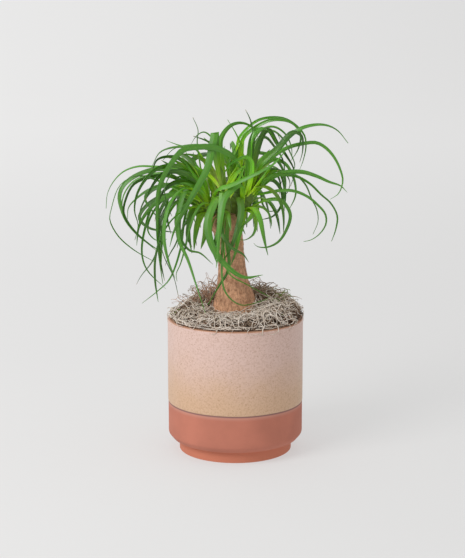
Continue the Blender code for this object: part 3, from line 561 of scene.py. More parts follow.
def length_setting(name, description, default):
    """Length that the user can change."""
    return FloatProperty(name=name, description=description, default=default, unit="LENGTH")


class PotSettings(bpy.types.PropertyGroup):
    """Sizes and colours of the glazed pot."""

    glaze_line: length_setting("Glaze line", "Height where the glaze ends", 62.6 * MM)
    waver: length_setting("Waver", "How far the glaze line strays up and down", 0.35 * MM)
    glaze_high: colour_setting("Upper glaze", "Pink of the glaze at the rim", "DDBFB4")
    glaze_low: colour_setting("Lower glaze", "Sand of the glaze at its lower edge", "D4B090")
    speckle: colour_setting("Speckle", "Iron speckles that burn through the glaze", "A87B57")
    rim: colour_setting("Rim", "Clay that shows through the thin glaze of the rim", "B88260")
    clay: colour_setting("Bare clay", "Unglazed fired clay", "BF7661")
    foot: colour_setting("Foot", "Warmer clay of the foot", "CF7D60")
    edge: colour_setting("Glaze edge", "Dark line where the glaze stops", "7E5F5A")


class TrunkSettings(bpy.types.PropertyGroup):
    """Relief and colours of the corky trunk."""

    relief: length_setting("Relief", "Depth of the bark's furrows", 0.45 * MM)
    furrow: length_setting("Furrow width", "Distance between the bark's furrows", 2.1 * MM)
    bark: colour_setting("Bark", "Cork between the furrows", "DCA884")
    dark: colour_setting("Furrows", "Dirt and shade in the furrows", "7A5234")


class MossSettings(bpy.types.PropertyGroup):
    """Strands and colours of the moss dressing."""

    density: FloatProperty(
        name="Density", description="How many strands the moss has, as a share of the real number",
        default=1, min=0, max=1.5)
    strand_radius: length_setting("Strand radius", "Radius of one strand", 0.5 * MM)
    pale: colour_setting("Pale moss", "Bleached outer strands", "F4EADF")
    tan: colour_setting("Tan moss", "Most of the strands", "B69E86")
    brown: colour_setting("Brown moss", "Old strands low in the mat", "86695A")
    rust: colour_setting("Rusty moss", "Thin dead strands that stand up behind the trunk", "D2AC92")
    sprig: colour_setting("Live sprigs", "The few strands that are still green", "8FA855")


class LeafSettings(bpy.types.PropertyGroup):
    """Thickness and colours of the strap leaves."""

    thickness: length_setting("Thickness", "Thickness of a blade", 0.6 * MM)
    # The root shade is painted shade where a blade clasps its shoot
    root_shade: colour_setting("Sheath", "Dull green where a blade clasps its shoot", "4E5A22")
    base: colour_setting("Leaf base", "Pale root of a blade", "DDE38A")
    young: colour_setting("Young green", "Lower third of a blade", "A9D228")
    green: colour_setting("Green", "Middle of a blade", "5F9E1B")
    deep: colour_setting("Deep green", "Outer third of a blade", "3B7314")
    under: colour_setting("Underside", "Duller underside of a blade", "4A7A2A")


class StageSettings(bpy.types.PropertyGroup):
    """The floor, the lights and the camera."""

    floor: colour_setting("Floor", "Acrylic floor and its sweep", "959493")
    # The floor's glow is painted light: it lifts the floor and sweep and keeps shadows on them faint
    glow: FloatProperty(
        name="Floor glow", description="Light that comes through the floor", default=0.486)
    key: FloatProperty(
        name="Key light", description="Soft light from the upper left, in watts", default=38)
    fill: FloatProperty(name="Fill light", description="Even light from all round", default=0.62)
    lens: FloatProperty(
        name="Lens", description="Focal length on a 36 mm sensor, in millimetres", default=119)


def glazed_stoneware(settings):
    """Satin glaze over bare fired clay: a soft sheen with iron speckles above, dry and dull below."""
    mat, tree, shader = new_finish("glazed_stoneware")
    line = settings.glaze_line
    place = add_node(tree, "TexCoord").outputs["Object"]
    height = add_node(tree, "SeparateXYZ", links={0: place}).outputs["Z"]
    # The line strays a little up and down
    swing = add_node(tree, "TexNoise", {"Scale": 1 / WAVER_SWING, "Detail": 1}, {"Vector": place})
    shift = add_node(tree, "Math",
                     {"operation": "MULTIPLY_ADD", 1: 2 * settings.waver, 2: -settings.waver},
                     {0: swing})
    level = add_node(tree, "Math", {"operation": "ADD"}, {0: height, 1: shift})

    # The glaze turns from sand to pink up the wall, clouded in patches about 30 mm wide
    cloud = add_node(tree, "TexNoise", {"Scale": per(30.3), "Detail": 3}, {"Vector": place})
    rise = add_node(tree, "Math", {"operation": "MULTIPLY_ADD", 1: 36 * MM, 2: -18 * MM}, {0: cloud})
    clouded = add_node(tree, "Math", {"operation": "ADD"}, {0: height, 1: rise})
    up = add_node(tree, "MapRange",
                  {"interpolation_type": "SMOOTHSTEP", "From Min": line,
                   "From Max": POT_HEIGHT - 20 * MM}, {"Value": clouded})
    glaze = add_node(tree, "Mix", {"data_type": "RGBA", 6: settings.glaze_low, 7: settings.glaze_high},
                     {0: up})
    # Fine mottle about 2 mm across
    mottle = add_node(tree, "TexNoise", {"Scale": per(2.083), "Detail": 2}, {"Vector": place})
    dapple = add_node(tree, "MapRange", {"From Min": 0.45, "From Max": 0.68, "To Max": 0.3},
                      {"Value": mottle})
    glaze = add_node(tree, "Mix", {"data_type": "RGBA", 7: settings.speckle},
                     {0: dapple, 6: glaze.outputs[2]})
    # Iron speckles, one in about 3 mm and under 1 mm wide
    spots = add_node(tree, "TexVoronoi", {"Scale": per(3.03)}, {"Vector": place})
    spot = add_node(tree, "MapRange", {"From Min": 0.14, "From Max": 0.26, "To Min": 0.5, "To Max": 0},
                    {"Value": spots.outputs["Distance"]})
    glaze = add_node(tree, "Mix", {"data_type": "RGBA", 7: settings.speckle},
                     {0: spot, 6: glaze.outputs[2]})
    # The rim, where the glaze runs thin over the clay
    thin = add_node(tree, "MapRange",
                    {"From Min": POT_HEIGHT - 1.5 * MM, "From Max": POT_HEIGHT - 0.6 * MM,
                     "To Max": 0.85}, {"Value": level})
    glaze = add_node(tree, "Mix", {"data_type": "RGBA", 7: settings.rim},
                     {0: thin, 6: glaze.outputs[2]})

    # Clay in slow tones, with a grain of about 1 mm
    grain = add_node(tree, "TexNoise", {"Scale": per(1.111), "Detail": 3}, {"Vector": place})
    blush = add_node(tree, "TexNoise", {"Scale": per(35.7), "Detail": 3}, {"Vector": place})
    tone = add_node(tree, "MapRange", {"From Min": 0.3, "From Max": 0.7, "To Min": 0.9, "To Max": 1.07},
                    {"Value": blush})
    clay = add_node(tree, "VectorMath", {"operation": "SCALE", 0: settings.clay}, {"Scale": tone})
    # The foot is fired a little warmer than the wall
    warm = add_node(tree, "MapRange",
                    {"From Min": FOOT_HEIGHT - 3 * MM, "From Max": FOOT_HEIGHT + 2 * MM, "To Min": 0.8,
                     "To Max": 0}, {"Value": height})
    clay = add_node(tree, "Mix", {"data_type": "RGBA", 7: settings.foot}, {0: warm, 6: clay})
    # A faint bloom of glaze below its edge, then the dark edge itself
    bloom = add_node(tree, "MapRange",
                     {"interpolation_type": "SMOOTHSTEP", "From Min": line - 7 * MM,
                      "From Max": line - 1 * MM, "To Max": 0.22}, {"Value": level})
    clay = add_node(tree, "Mix", {"data_type": "RGBA", 7: settings.glaze_high},
                    {0: bloom, 6: clay.outputs[2]})
    edge = add_node(tree, "MapRange",
                    {"interpolation_type": "SMOOTHSTEP", "From Min": line - 2.6 * MM,
                     "From Max": line - 1.1 * MM, "To Max": 0.8}, {"Value": level})
    clay = add_node(tree, "Mix", {"data_type": "RGBA", 7: settings.edge}, {0: edge, 6: clay.outputs[2]})
    glazed = add_node(tree, "MapRange",
                      {"interpolation_type": "SMOOTHSTEP", "From Min": line - 0.3 * MM,
                       "From Max": line + 0.4 * MM}, {"Value": level})
    colour = add_node(tree, "Mix", {"data_type": "RGBA"},
                      {0: glazed, 6: clay.outputs[2], 7: glaze.outputs[2]})
    gloss = add_node(tree, "MapRange", {"To Min": 0.8, "To Max": 0.45}, {"Value": glazed})
    ripple = add_node(tree, "TexNoise", {"Scale": per(6.25), "Detail": 2}, {"Vector": place})
    soft = add_node(tree, "Bump", {"Strength": 0.15, "Distance": 0.3 * MM}, {"Height": ripple})
    rough = add_node(tree, "Bump", {"Strength": 0.3, "Distance": 0.15 * MM},
                     {"Height": grain, "Normal": soft})
    plug(tree, shader, {"Base Color": colour.outputs[2], "Roughness": gloss, "Normal": rough})
    return mat


def damp_soil():
    """Damp potting mix: dark crumbs of bark and peat, quite dull."""
    mat, tree, shader = new_finish("damp_potting_mix")
    place = add_node(tree, "TexCoord").outputs["Object"]
    # Crumbs about 3 mm across
    crumbs = add_node(tree, "TexVoronoi", {"Scale": per(3.03)}, {"Vector": place})
    ramp = add_node(tree, "Mix", {"data_type": "RGBA", 6: linear("2A1D14"), 7: linear("5A432F")},
                    {0: crumbs.outputs["Distance"]})
    bump = add_node(tree, "Bump", {"Strength": 0.8, "Distance": 1.2 * MM},
                    {"Height": crumbs.outputs["Distance"]})
    plug(tree, shader, {"Base Color": ramp.outputs[2], "Normal": bump})
    adjust(shader, {"Roughness": 0.9})
    return mat


def corky_bark(settings):
    """Weathered cork: pale ridges, dark furrows that run up the trunk, and no shine at all."""
    mat, tree, shader = new_finish("weathered_cork")
    place = add_node(tree, "TexCoord").outputs["Object"]
    depth = add_node(tree, "Attribute", {"attribute_name": "furrow"}).outputs["Fac"]
    # Flakes about 3 mm wide and longer up the trunk than across it
    stretched = add_node(tree, "Mapping", {"Scale": (1, 1, 0.45)}, {"Vector": place})
    flake = add_node(tree, "TexNoise", {"Scale": per(3.125), "Detail": 5, "Roughness": 0.65},
                     {"Vector": stretched})
    # Grain of about 1 mm
    grain = add_node(tree, "TexNoise", {"Scale": per(1), "Detail": 2}, {"Vector": place})
    # Weathered patches about 15 mm wide
    patch = add_node(tree, "TexNoise", {"Scale": per(15.4), "Detail": 4}, {"Vector": place})
    rough = add_node(tree, "Math", {"operation": "MULTIPLY_ADD", 1: 0.35}, {0: grain, 2: flake})
    shade = add_node(tree, "Math", {"operation": "MULTIPLY_ADD", 1: 0.3}, {0: depth, 2: rough})
    deep = add_node(tree, "MapRange", {"From Min": 0.6, "From Max": 1.05}, {"Value": shade})
    cork = add_node(tree, "Mix", {"data_type": "RGBA", 6: settings.dark, 7: settings.bark}, {0: deep})
    tone = add_node(tree, "MapRange",
                    {"From Min": 0.3, "From Max": 0.7, "To Min": 0.86, "To Max": 1.22},
                    {"Value": patch})
    colour = add_node(tree, "VectorMath", {"operation": "SCALE"}, {0: cork.outputs[2], "Scale": tone})
    bump = add_node(tree, "Bump", {"Strength": 0.7, "Distance": 0.5 * MM}, {"Height": rough})
    plug(tree, shader, {"Base Color": colour, "Normal": bump})
    adjust(shader, {"Roughness": 0.88})
    return mat


def dried_moss(name, colour, shadow):
    """Dried moss: scurfy grey strands that scatter light without any shine."""
    mat, tree, shader = new_finish(name)
    place = add_node(tree, "TexCoord").outputs["Object"]
    # Strands turn between their colour and a painted shadow colour over about 8 mm, and scurf speckles
    # them with it at under 1 mm
    tone = add_node(tree, "TexNoise", {"Scale": per(8.33), "Detail": 2}, {"Vector": place})
    scurf = add_node(tree, "TexNoise", {"Scale": per(0.769), "Detail": 2}, {"Vector": place})
    both = add_node(tree, "Math", {"operation": "MULTIPLY_ADD", 1: 0.5}, {0: scurf, 2: tone})
    share = add_node(tree, "MapRange", {"From Min": 0.52, "From Max": 0.98}, {"Value": both})
    mixed = add_node(tree, "Mix", {"data_type": "RGBA", 6: shadow, 7: colour}, {0: share})
    plug(tree, shader, {"Base Color": mixed.outputs[2]})
    adjust(shader, {"Roughness": 0.95, "Specular IOR Level": 0.2})
    return mat


def strap_leaf(name, settings, upper):
    """Living strap leaf: a waxy skin with a soft shine, fine parallel veins, a pale root, and painted
    shade where it clasps its shoot.
    """
    mat, tree, shader = new_finish(name)
    spot = add_node(tree, "UVMap", {"uv_map": "blade"}).outputs[0]
    parts = add_node(tree, "SeparateXYZ", links={0: spot})
    across, along = parts.outputs["X"], parts.outputs["Y"]
    tint = add_node(tree, "Attribute", {"attribute_name": "tint"}).outputs["Fac"]
    # Distance from the root, in tenths of a metre
    reach = add_node(tree, "Attribute", {"attribute_name": "reach"}).outputs["Fac"]
    ramp = add_node(tree, "ValToRGB", links={0: reach})
    # Colours out from the root: painted shade where the blade clasps its shoot, then the pale base, young
    # green, green and deep green
    greens = [settings.root_shade, settings.base, settings.young, settings.green, settings.deep]
    if not upper:
        greens = [[0.5 * c + 0.5 * u for c, u in zip(green, settings.under)] for green in greens]
    set_stops(ramp, zip((0.02, 0.1, 0.31, 0.58, 0.98), greens))
    # Parallel veins, about sixteen across the blade, and slow changes along it
    stretched = add_node(tree, "Mapping", {"Scale": (16, 3, 1)}, {"Vector": spot})
    veins = add_node(tree, "TexNoise", {"Scale": 1, "Detail": 3}, {"Vector": stretched})
    streak = add_node(tree, "MapRange",
                      {"From Min": 0.32, "From Max": 0.68, "To Min": 0.7, "To Max": 1.3},
                      {"Value": veins})
    age = add_node(tree, "MapRange", {"To Min": 0.6, "To Max": 1.68}, {"Value": tint})
    tone = add_node(tree, "Math", {"operation": "MULTIPLY"}, {0: streak, 1: age})
    green = add_node(tree, "VectorMath", {"operation": "SCALE"}, {0: ramp, "Scale": tone})
    # Faint midrib, a tenth of the blade wide
    middle = add_node(tree, "Math", {"operation": "SUBTRACT", 1: 0.5}, {0: across})
    off = add_node(tree, "Math", {"operation": "ABSOLUTE"}, {0: middle})
    rib = add_node(tree, "MapRange", {"From Min": 0.02, "From Max": 0.1, "To Min": 0.08, "To Max": 0},
                   {"Value": off})
    green = add_node(tree, "Mix", {"data_type": "RGBA", 7: settings.young}, {0: rib, 6: green})
    # The last few millimetres of an old leaf are dry
    dry = add_node(tree, "Math", {"operation": "MULTIPLY_ADD", 1: -0.07}, {0: tint, 2: along})
    tip = add_node(tree, "MapRange", {"From Min": 0.96, "From Max": 0.985}, {"Value": dry})
    colour = add_node(tree, "Mix", {"data_type": "RGBA", 7: linear("A08A5C")},
                      {0: tip, 6: green.outputs[2]})
    bump = add_node(tree, "Bump", {"Strength": 0.25, "Distance": 0.3 * MM}, {"Height": veins})
    plug(tree, shader, {"Base Color": colour.outputs[2], "Normal": bump})
    adjust(shader, {"Roughness": 0.26 if upper else 0.42, "Specular IOR Level": 0.5,
                    "Subsurface Weight": 0.25, "Subsurface Radius": (0.5, 1, 0.2),
                    "Subsurface Scale": 0.8 * MM})
    return mat


def leaf_sheath():
    """Fleshy leaf bases that clasp the shoot: olive to dark green, darkened as painted shade of the
    crown's hollow, smooth and faintly ribbed.
    """
    mat, tree, shader = new_finish("fleshy_leaf_base_painted_shade")
    place = add_node(tree, "TexCoord").outputs["Object"]
    height = add_node(tree, "SeparateXYZ", links={0: place}).outputs["Z"]
    foot = HEADS["head_left"][0][2] * MM
    ramp = add_node(tree, "MapRange", {"From Min": foot, "From Max": foot + 60 * MM}, {"Value": height})
    tones = add_node(tree, "ValToRGB", links={0: ramp})
    # Olive low on the shoot, brighter green, then darker up among the leaves: all darkened as painted
    # shade
    greens = (linear(code) for code in ("5C6428", "6F8A2A", "466A1C", "264612"))
    set_stops(tones, zip((0, 0.4, 0.75, 0.98), greens))
    ribs = add_node(tree, "TexNoise", {"Scale": per(2), "Detail": 2}, {"Vector": place})
    bump = add_node(tree, "Bump", {"Strength": 0.4, "Distance": 0.3 * MM}, {"Height": ribs})
    plug(tree, shader, {"Base Color": tones, "Normal": bump})
    adjust(shader, {"Roughness": 0.45})
    return mat


def sweep_with_painted_glow(colour, glow):
    """Matt white acrylic that glows with painted light, so that shadows on it stay faint."""
    mat, tree, shader = new_finish("acrylic_sweep_painted_glow")
    place = add_node(tree, "TexCoord").outputs["Object"]
    spot = add_node(tree, "SeparateXYZ", links={0: place})
    # The painted glow grows towards the back and towards the left
    back = add_node(tree, "MapRange",
                    {"interpolation_type": "SMOOTHSTEP", "From Min": 0.3, "From Max": 3, "To Min": glow,
                     "To Max": 1.155 * glow}, {"Value": spot.outputs["Y"]})
    power = add_node(tree, "Math", {"operation": "MULTIPLY_ADD", 1: -0.1 * glow},
                     {0: spot.outputs["X"], 2: back})
    # Cloudy tone, one swing in about 300 mm
    cloud = add_node(tree, "TexNoise", {"Scale": per(303), "Detail": 2}, {"Vector": place})
    tone = add_node(tree, "MapRange", {"To Min": 0.985, "To Max": 1.015}, {"Value": cloud})
    shade = add_node(tree, "VectorMath", {"operation": "SCALE", 0: colour}, {"Scale": tone})
    plug(tree, shader, {"Base Color": shade, "Emission Strength": power})
    adjust(shader, {"Emission Color": (1, 1, 1), "Roughness": 0.9, "Specular IOR Level": 0.1})
    return mat


def pot_profile(line):
    """Outline of the pot's wall from the middle of its underside, round the rim, to the middle inside."""
    inner = POT_RADIUS - POT_WALL
    # Rounds of the foot, of the recess above it, of the chamfer's two edges, and of the corner inside
    foot, recess, low, high, corner = (size * MM for size in (1.2, 0.8, 0.6, 6, 4))
    profile = [(0, 0), (FOOT_RADIUS - 8 * MM, 0)]
    profile += arc((FOOT_RADIUS - foot, foot), foot, -90, 0, 5)
    profile += arc((FOOT_RADIUS + recess, FOOT_HEIGHT - recess), recess, 180, 90, 4)
    profile += arc((POT_RADIUS - BODY_CHAMFER - low, FOOT_HEIGHT + low), low, -90, -45, 3)
    profile += arc((POT_RADIUS - high, FOOT_HEIGHT + 1.3 * BODY_CHAMFER + 2 * MM), high, -45, 0, 6)
    # Bare wall up to 2 mm under the glaze, the glaze's swollen edge, then the glazed wall
    heights = [FOOT_HEIGHT + 12 * MM + i * (line - FOOT_HEIGHT - 14 * MM) / 6 for i in range(7)]
    profile += [(POT_RADIUS, z) for z in heights]
    profile += [(POT_RADIUS, line - 0.6 * MM), (POT_RADIUS + 0.15 * MM, line - 0.2 * MM),
                (RIM_RADIUS - 0.05 * MM, line + 0.3 * MM), (RIM_RADIUS, line + 1 * MM),
                (RIM_RADIUS, line + 3 * MM)]
    heights = [line + (POT_HEIGHT - line) * i / 9 for i in range(1, 9)]
    profile += [(RIM_RADIUS, z) for z in heights]
    profile += arc((RIM_RADIUS - RIM_ROUND, POT_HEIGHT - RIM_ROUND), RIM_ROUND, 0, 90, 8)
    profile += arc((inner + RIM_ROUND, POT_HEIGHT - RIM_ROUND), RIM_ROUND, 90, 180, 8)
    profile += [(inner, POT_HEIGHT - 30 * MM), (inner, POT_FLOOR + corner)]
    profile += arc((inner - corner, POT_FLOOR + corner), corner, 0, -90, 4)
    profile += [(0, POT_FLOOR)]
    return profile


class PALM_OT_pot(bpy.types.Operator):
    """Turn the pot, glaze its upper part and leave its foot bare"""

    bl_idname = "palm.pot"
    bl_label = "Glazed pot"

    def execute(self, context):
        settings = context.scene.palm_pot
        bm = spun(pot_profile(settings.glaze_line), POT_STEPS)
        for vert in bm.verts:
            near = max(0, 1 - abs(vert.co.z - settings.glaze_line) / WAVER_REACH)
            stray = noise.noise(Vector((vert.co.x, vert.co.y, 0)) / WAVER_SWING)
            vert.co.z += settings.waver * near * stray
        pot = add_piece("pot_glazed", bm, [glazed_stoneware(settings)], ["pot"])
        smooth(pot, 40)
        return {"FINISHED"}


class PALM_OT_soil(bpy.types.Operator):
    """Give the packed soil its crumbly finish"""

    bl_idname = "palm.soil"
    bl_label = "Potting soil"

    def execute(self, context):
        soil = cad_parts["potting_soil"]
        soil.data.materials.clear()
        soil.data.materials.append(damp_soil())
        return {"FINISHED"}


def bark_relief(spot, width):
    """How far the bark stands out at a point: the solid's own ridges, and furrows of a width on them."""
    x, y, z = spot
    # Ridges about 8 mm wide and 17 mm high, and wrinkles about 4 mm high, as on the solid
    ridge = noise.noise(Vector((130 * x, 130 * y, 60 * z)))
    wrinkle = noise.noise(Vector((60 * x + 9, 60 * y, 260 * z)))
    # Furrows that run up the trunk and bend, cracks across them, plates of bark, and grit
    bent = noise.noise(spot / (11 * MM))
    upright = noise.noise(Vector((x / width + 0.8 * bent, y / width, z / (5 * width))))
    crack = noise.noise(Vector((x / (5 * width), y / (5 * width) + bent, z / (0.9 * width))))
    plate = noise.noise(Vector((x / (3 * width), y / (3 * width), z / (2 * width) + 7)))
    grit = noise.noise(spot / (0.9 * MM))
    # Up the trunk the furrows fade and the cracks deepen
    high = held((z - NECK) / NECK_BARK)
    fine = 0.62 - (1 - 0.5 * high) * abs(upright) * 1.3 - (0.35 + 0.7 * high) * max(0, crack)
    return RIDGE_HEIGHT * (ridge + 0.8 * wrinkle), fine + 0.5 * plate + 0.25 * grit


class PALM_OT_trunk(bpy.types.Operator):
    """Raise the swollen trunk and furrow its bark"""

    bl_idname = "palm.trunk"
    bl_label = "Corky trunk"

    def execute(self, context):
        settings = context.scene.palm_trunk
        low = TRUNK_ROWS[0][0] * MM
        dome = TRUNK_ROWS[-1][0] * MM
        profile = [(0, low)]
        for i in range(TRUNK_LAYERS + 1):
            z = low + (dome - low) * i / TRUNK_LAYERS
            profile.append((rows_at(TRUNK_ROWS, z / MM)[0] * MM, z))
        edge = profile[-1][0]
        for i in range(1, DOME_LAYERS):
            turn = math.radians(90 * i / DOME_LAYERS)
            profile.append((edge * math.cos(turn), dome + (TRUNK_TOP - dome) * math.sin(turn)))
        profile.append((0, TRUNK_TOP))
        bm = spun(profile, TRUNK_STEPS)
        furrow = bm.verts.layers.float.new("furrow")
        for vert in bm.verts:
            height = vert.co.z
            rough, fine = bark_relief(vert.co, settings.furrow)
            vert[furrow] = held(0.5 + fine * 0.6)
            radial = Vector((vert.co.x, vert.co.y, 0))
            # Near the axis, where the top closes, the bark stays flat
            if radial.length > 2 * MM:
                radial *= 1 + (rough + settings.relief * (fine - 0.6)) / radial.length
            lean = rows_at(TRUNK_ROWS, height / MM)[1] * MM
            back = TRUNK_BACK * held((height - NECK) / NECK_LEAN)
            vert.co = (radial.x + lean, radial.y + back, height)
        trunk = add_piece("trunk_bark", bm, [corky_bark(settings)], ["trunk"])
        smooth(trunk, 180)
        return {"FINISHED"}


def trunk_dip(x, y):
    """How far the dressing sinks in front of the trunk's foot, where it was pressed down."""
    distance = math.hypot(x, y)
    front = 0.5 - 0.5 * y / max(distance, MM)
    return DIP_DEPTH * front * held((DIP_REACH - distance) / DIP_SLOPE)


class MossGround:
    """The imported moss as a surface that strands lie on, and drape over the rim from."""

    def __init__(self):
        self.faces = packed_faces("moss")
        self.edge = RIM_RADIUS

    def at(self, x, y):
        """The surface at a place, dropping down outside the rim and dipping in front of the trunk."""
        distance = math.hypot(x, y)
        if distance > self.edge:
            out = (self.edge + HANG_GAP) / distance
            return Vector((x * out, y * out, POT_HEIGHT - (distance - self.edge) + HANG_RISE))
        # Where the trunk stands, the place moves out until it meets the moss
        spot = Vector((x, y - TRUNK_BACK, 0))
        outward = spot.normalized() if spot.length > MM else Vector((1, 0, 0))
        for _ in range(ESCAPE_STEPS):
            start = spot + Vector((0, TRUNK_BACK, 1))
            hit = self.faces.ray_cast(start, Vector((0, 0, -1)))[0]
            if hit:
                return hit - Vector((0, 0, trunk_dip(hit.x, hit.y)))
            if distance > self.edge - RIM_BAND:
                break
            spot += outward * MM
        return Vector((x, y, POT_HEIGHT + RIM_RISE))


def face_search(bm):
    """Search tree of a bmesh's faces. The bmesh itself is freed."""
    faces = BVHTree.FromBMesh(bm)
    bm.free()
    return faces


def packed_faces(node):
    """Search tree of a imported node's faces."""
    bm = bmesh.new()
    bm.from_mesh(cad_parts[node].data)
    return face_search(bm)


def meander(rng, length, swing):
    """Headings and step of a wiry strand: it snakes, and drifts slowly round."""
    heading = rng.uniform(0, 2 * math.pi)
    drift = rng.uniform(-4, 4)
    wave = rng.uniform(14, 40) * MM
    phase = rng.uniform(0, 2 * math.pi)
    depth = rng.uniform(0.4, 1) * swing
    step = length / STRAND_STEPS
    headings = []
    for i in range(STRAND_STEPS + 1):
        snake = depth * math.sin(phase + 2 * math.pi * i * step / wave)
        headings.append(heading + drift * i / STRAND_STEPS + snake)
    return headings, step


def strand(ground, rng, lift, hump, bleached):
    """Path of one strand over the moss. It turns back before the rim, unless it is one that spills."""
    far = bleached and rng.random() < FAR_SHARE
    sector = FAR_SECTOR if far else FRONT_SECTOR if bleached else (0, 360)
    angle = math.radians(rng.uniform(*sector))
    distance = ground.edge * math.sqrt(rng.uniform(*(FAR_AREA if far else START_AREA)))
    spill = bleached * rng.choice(SPILLS) * MM
    spot = Vector((distance * math.cos(angle), distance * math.sin(angle), 0))
    headings, step = meander(rng, rng.uniform(*STRAND_LENGTHS) * MM, 1)
    low = rng.uniform(*lift) * MM
    high = rng.uniform(*lift) * MM
    waves = rng.uniform(0.6, 1.8) * 2 * math.pi
    phase = rng.uniform(0, 6)
    path = []
    for i, heading in enumerate(headings):
        share = i / STRAND_STEPS
        reach = math.hypot(spot.x, spot.y)
        outward = reach / ground.edge
        right = max(0, spot.x / max(reach, MM)) ** 3
        brink = ground.edge - (BLEACHED_BRINK if bleached else BRINK) * MM
        brink += RIGHT_BRINK * MM * right + spill
        if reach > brink:
            spot *= brink / reach
        # Near the rim the humps flatten, and at the right the whole mat swells
        calm = 1 - CALM * held((outward - CALM_FROM) / CALM_SPAN) * (1 - right)
        rise = low + (high - low) * share + hump * MM * calm * math.sin(phase + waves * share)
        rise += RIGHT_SWELL * right * held((outward - SWELL_FROM) / SWELL_SPAN)
        path.append(ground.at(spot.x, spot.y) + Vector((0, 0, rise)))
        spot = spot + Vector((math.cos(heading), math.sin(heading), 0)) * step
    return path


def wisp(ground, rng, row):
    """Path of one loose strand that stands up from the moss and curls over."""
    _, _, (azimuth, spread), (near, far), (low, high), length = row
    angle = math.radians(azimuth + rng.uniform(-spread, spread))
    distance = rng.uniform(near, far) * MM
    spot = ground.at(distance * math.cos(angle), distance * math.sin(angle))
    climb = rng.uniform(low, high) * MM
    headings, step = meander(rng, rng.uniform(0.6, 1) * length * MM, 1.5)
    path = []
    for i, heading in enumerate(headings):
        path.append(spot + Vector((0, 0, climb * math.sin(WISP_ARCH * i / STRAND_STEPS))))
        spot = spot + Vector((math.cos(heading), math.sin(heading), 0)) * step
        # Its place stays over the pot
        inward = min(1, ground.edge / math.hypot(spot.x, spot.y))
        spot = Vector((spot.x * inward, spot.y * inward, spot.z))
    return path


def strand_ring(radius):
    """Section of a strand, for a curve's bevel."""
    ring = bpy.data.curves.new("strand_ring", "CURVE")
    loop = ring.splines.new("POLY")
    loop.points.add(STRAND_SIDES - 1)
    loop.use_cyclic_u = True
    for i, point in enumerate(loop.points):
        angle = 2 * math.pi * i / STRAND_SIDES
        point.co = (radius * math.cos(angle), radius * math.sin(angle), 0, 1)
    holder = bpy.data.objects.new("strand_ring", ring)
    bpy.context.scene.collection.objects.link(holder)
    return holder


def strand_piece(name, paths, radius, mat, rng):
    """Round every path into a thin tapered strand and join them in one piece."""
    ring = strand_ring(radius)
    curve = bpy.data.curves.new(name, "CURVE")
    curve.dimensions = "3D"
    curve.bevel_mode = "OBJECT"
    curve.bevel_object = ring
    curve.use_fill_caps = True
    for path in paths:
        spline = curve.splines.new("POLY")
        spline.points.add(len(path) - 1)
        girth = rng.uniform(0.65, 1.2)
        for i, (point, spot) in enumerate(zip(spline.points, path)):
            point.co = (*spot, 1)
            point.radius = girth * (1 - STRAND_TAPER * (i / (len(path) - 1)) ** 2)
    drawn = bpy.data.objects.new(name + "_curve", curve)
    bpy.context.scene.collection.objects.link(drawn)
    mesh = finished_mesh(drawn)
    mesh.name = name
    bpy.data.objects.remove(drawn)
    bpy.data.objects.remove(ring)
    piece = dress(bpy.data.objects.new(name, mesh), [mat])
    smooth(piece, 180)


class PALM_OT_moss(bpy.types.Operator):
    """Lay the mat of dried moss and tangle its strands"""

    bl_idname = "palm.moss"
    bl_label = "Moss dressing"

    def execute(self, context):
        settings = context.scene.palm_moss
        bm = bmesh.new()
        bm.from_mesh(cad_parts["moss"].data)
        bmesh.ops.remove_doubles(bm, verts=bm.verts, dist=0.02 * MM)
        bmesh.ops.subdivide_edges(bm, edges=bm.edges, cuts=2, use_grid_fill=True)
        bmesh.ops.triangulate(bm, faces=bm.faces)
        for vert in bm.verts:
            if vert.co.z > POT_HEIGHT + 1 * MM:
                # Lumps about 4 mm wide with smaller ones on them
                lump = noise.noise(vert.co / (4 * MM)) + 0.6 * noise.noise(vert.co / (1.7 * MM))
                inward = POT_RADIUS - POT_WALL - math.hypot(vert.co.x, vert.co.y)
                vert.co.z += LUMP_HEIGHT * lump - MAT_SINK * held(inward / MAT_SLOPE)
                vert.co.z -= trunk_dip(vert.co.x, vert.co.y)
        # The mat's dark browns are painted shade under the strands that lie on it
        mat = dried_moss("moss_mat_painted_shade", linear("6A5748"), linear("30251C"))
        smooth(add_piece("moss_mat", bm, [mat], ["moss"]), 180)

        ground = MossGround()
        rng = random.Random(MOSS_SEED)
        for shade, count, shadow, lift, hump, girth in SHADES:
            count = round(count * settings.density) // 1
            bleached = shade == "pale"
            paths = [strand(ground, rng, lift, hump, bleached) for _ in range(count)]
            for row in WISPS:
                if row[0] == shade:
                    paths += [wisp(ground, rng, row) for _ in range(row[1])]
            finish = dried_moss("dried_moss_" + shade, getattr(settings, shade), linear(shadow))
            strand_piece("moss_strands_" + shade, paths, settings.strand_radius * girth, finish, rng)
        return {"FINISHED"}


def head_axis(name):
    """Foot, direction and length of a head's shoot."""
    foot, tip = (Vector(point) * MM for point in HEADS[name])
    return foot, (tip - foot).normalized(), (tip - foot).length


def stand(bm, foot, axis):
    """Move a bmesh that stands along Z to a foot, and lean it along an axis."""
    turn = axis.to_track_quat("Z", "Y").to_matrix().to_4x4()
    bmesh.ops.transform(bm, matrix=Matrix.Translation(foot) @ turn, verts=bm.verts)


def make_shoot(name, grow=0):
    """Short leafy shoot: a round stem that stands in the trunk and swells where leaves clasp it."""
    foot, axis, length = head_axis(name)
    profile = [(0, -grow), (STEM_RADIUS + grow, -grow)]
    profile += [(STEM_RADIUS * share + grow, length * at) for at, share in SHOOT_ROWS[1:]]
    profile += [(0, length + grow + SHOOT_POINT)]
    bm = spun(profile, SHOOT_STEPS)
    stand(bm, foot, axis)
    return bm


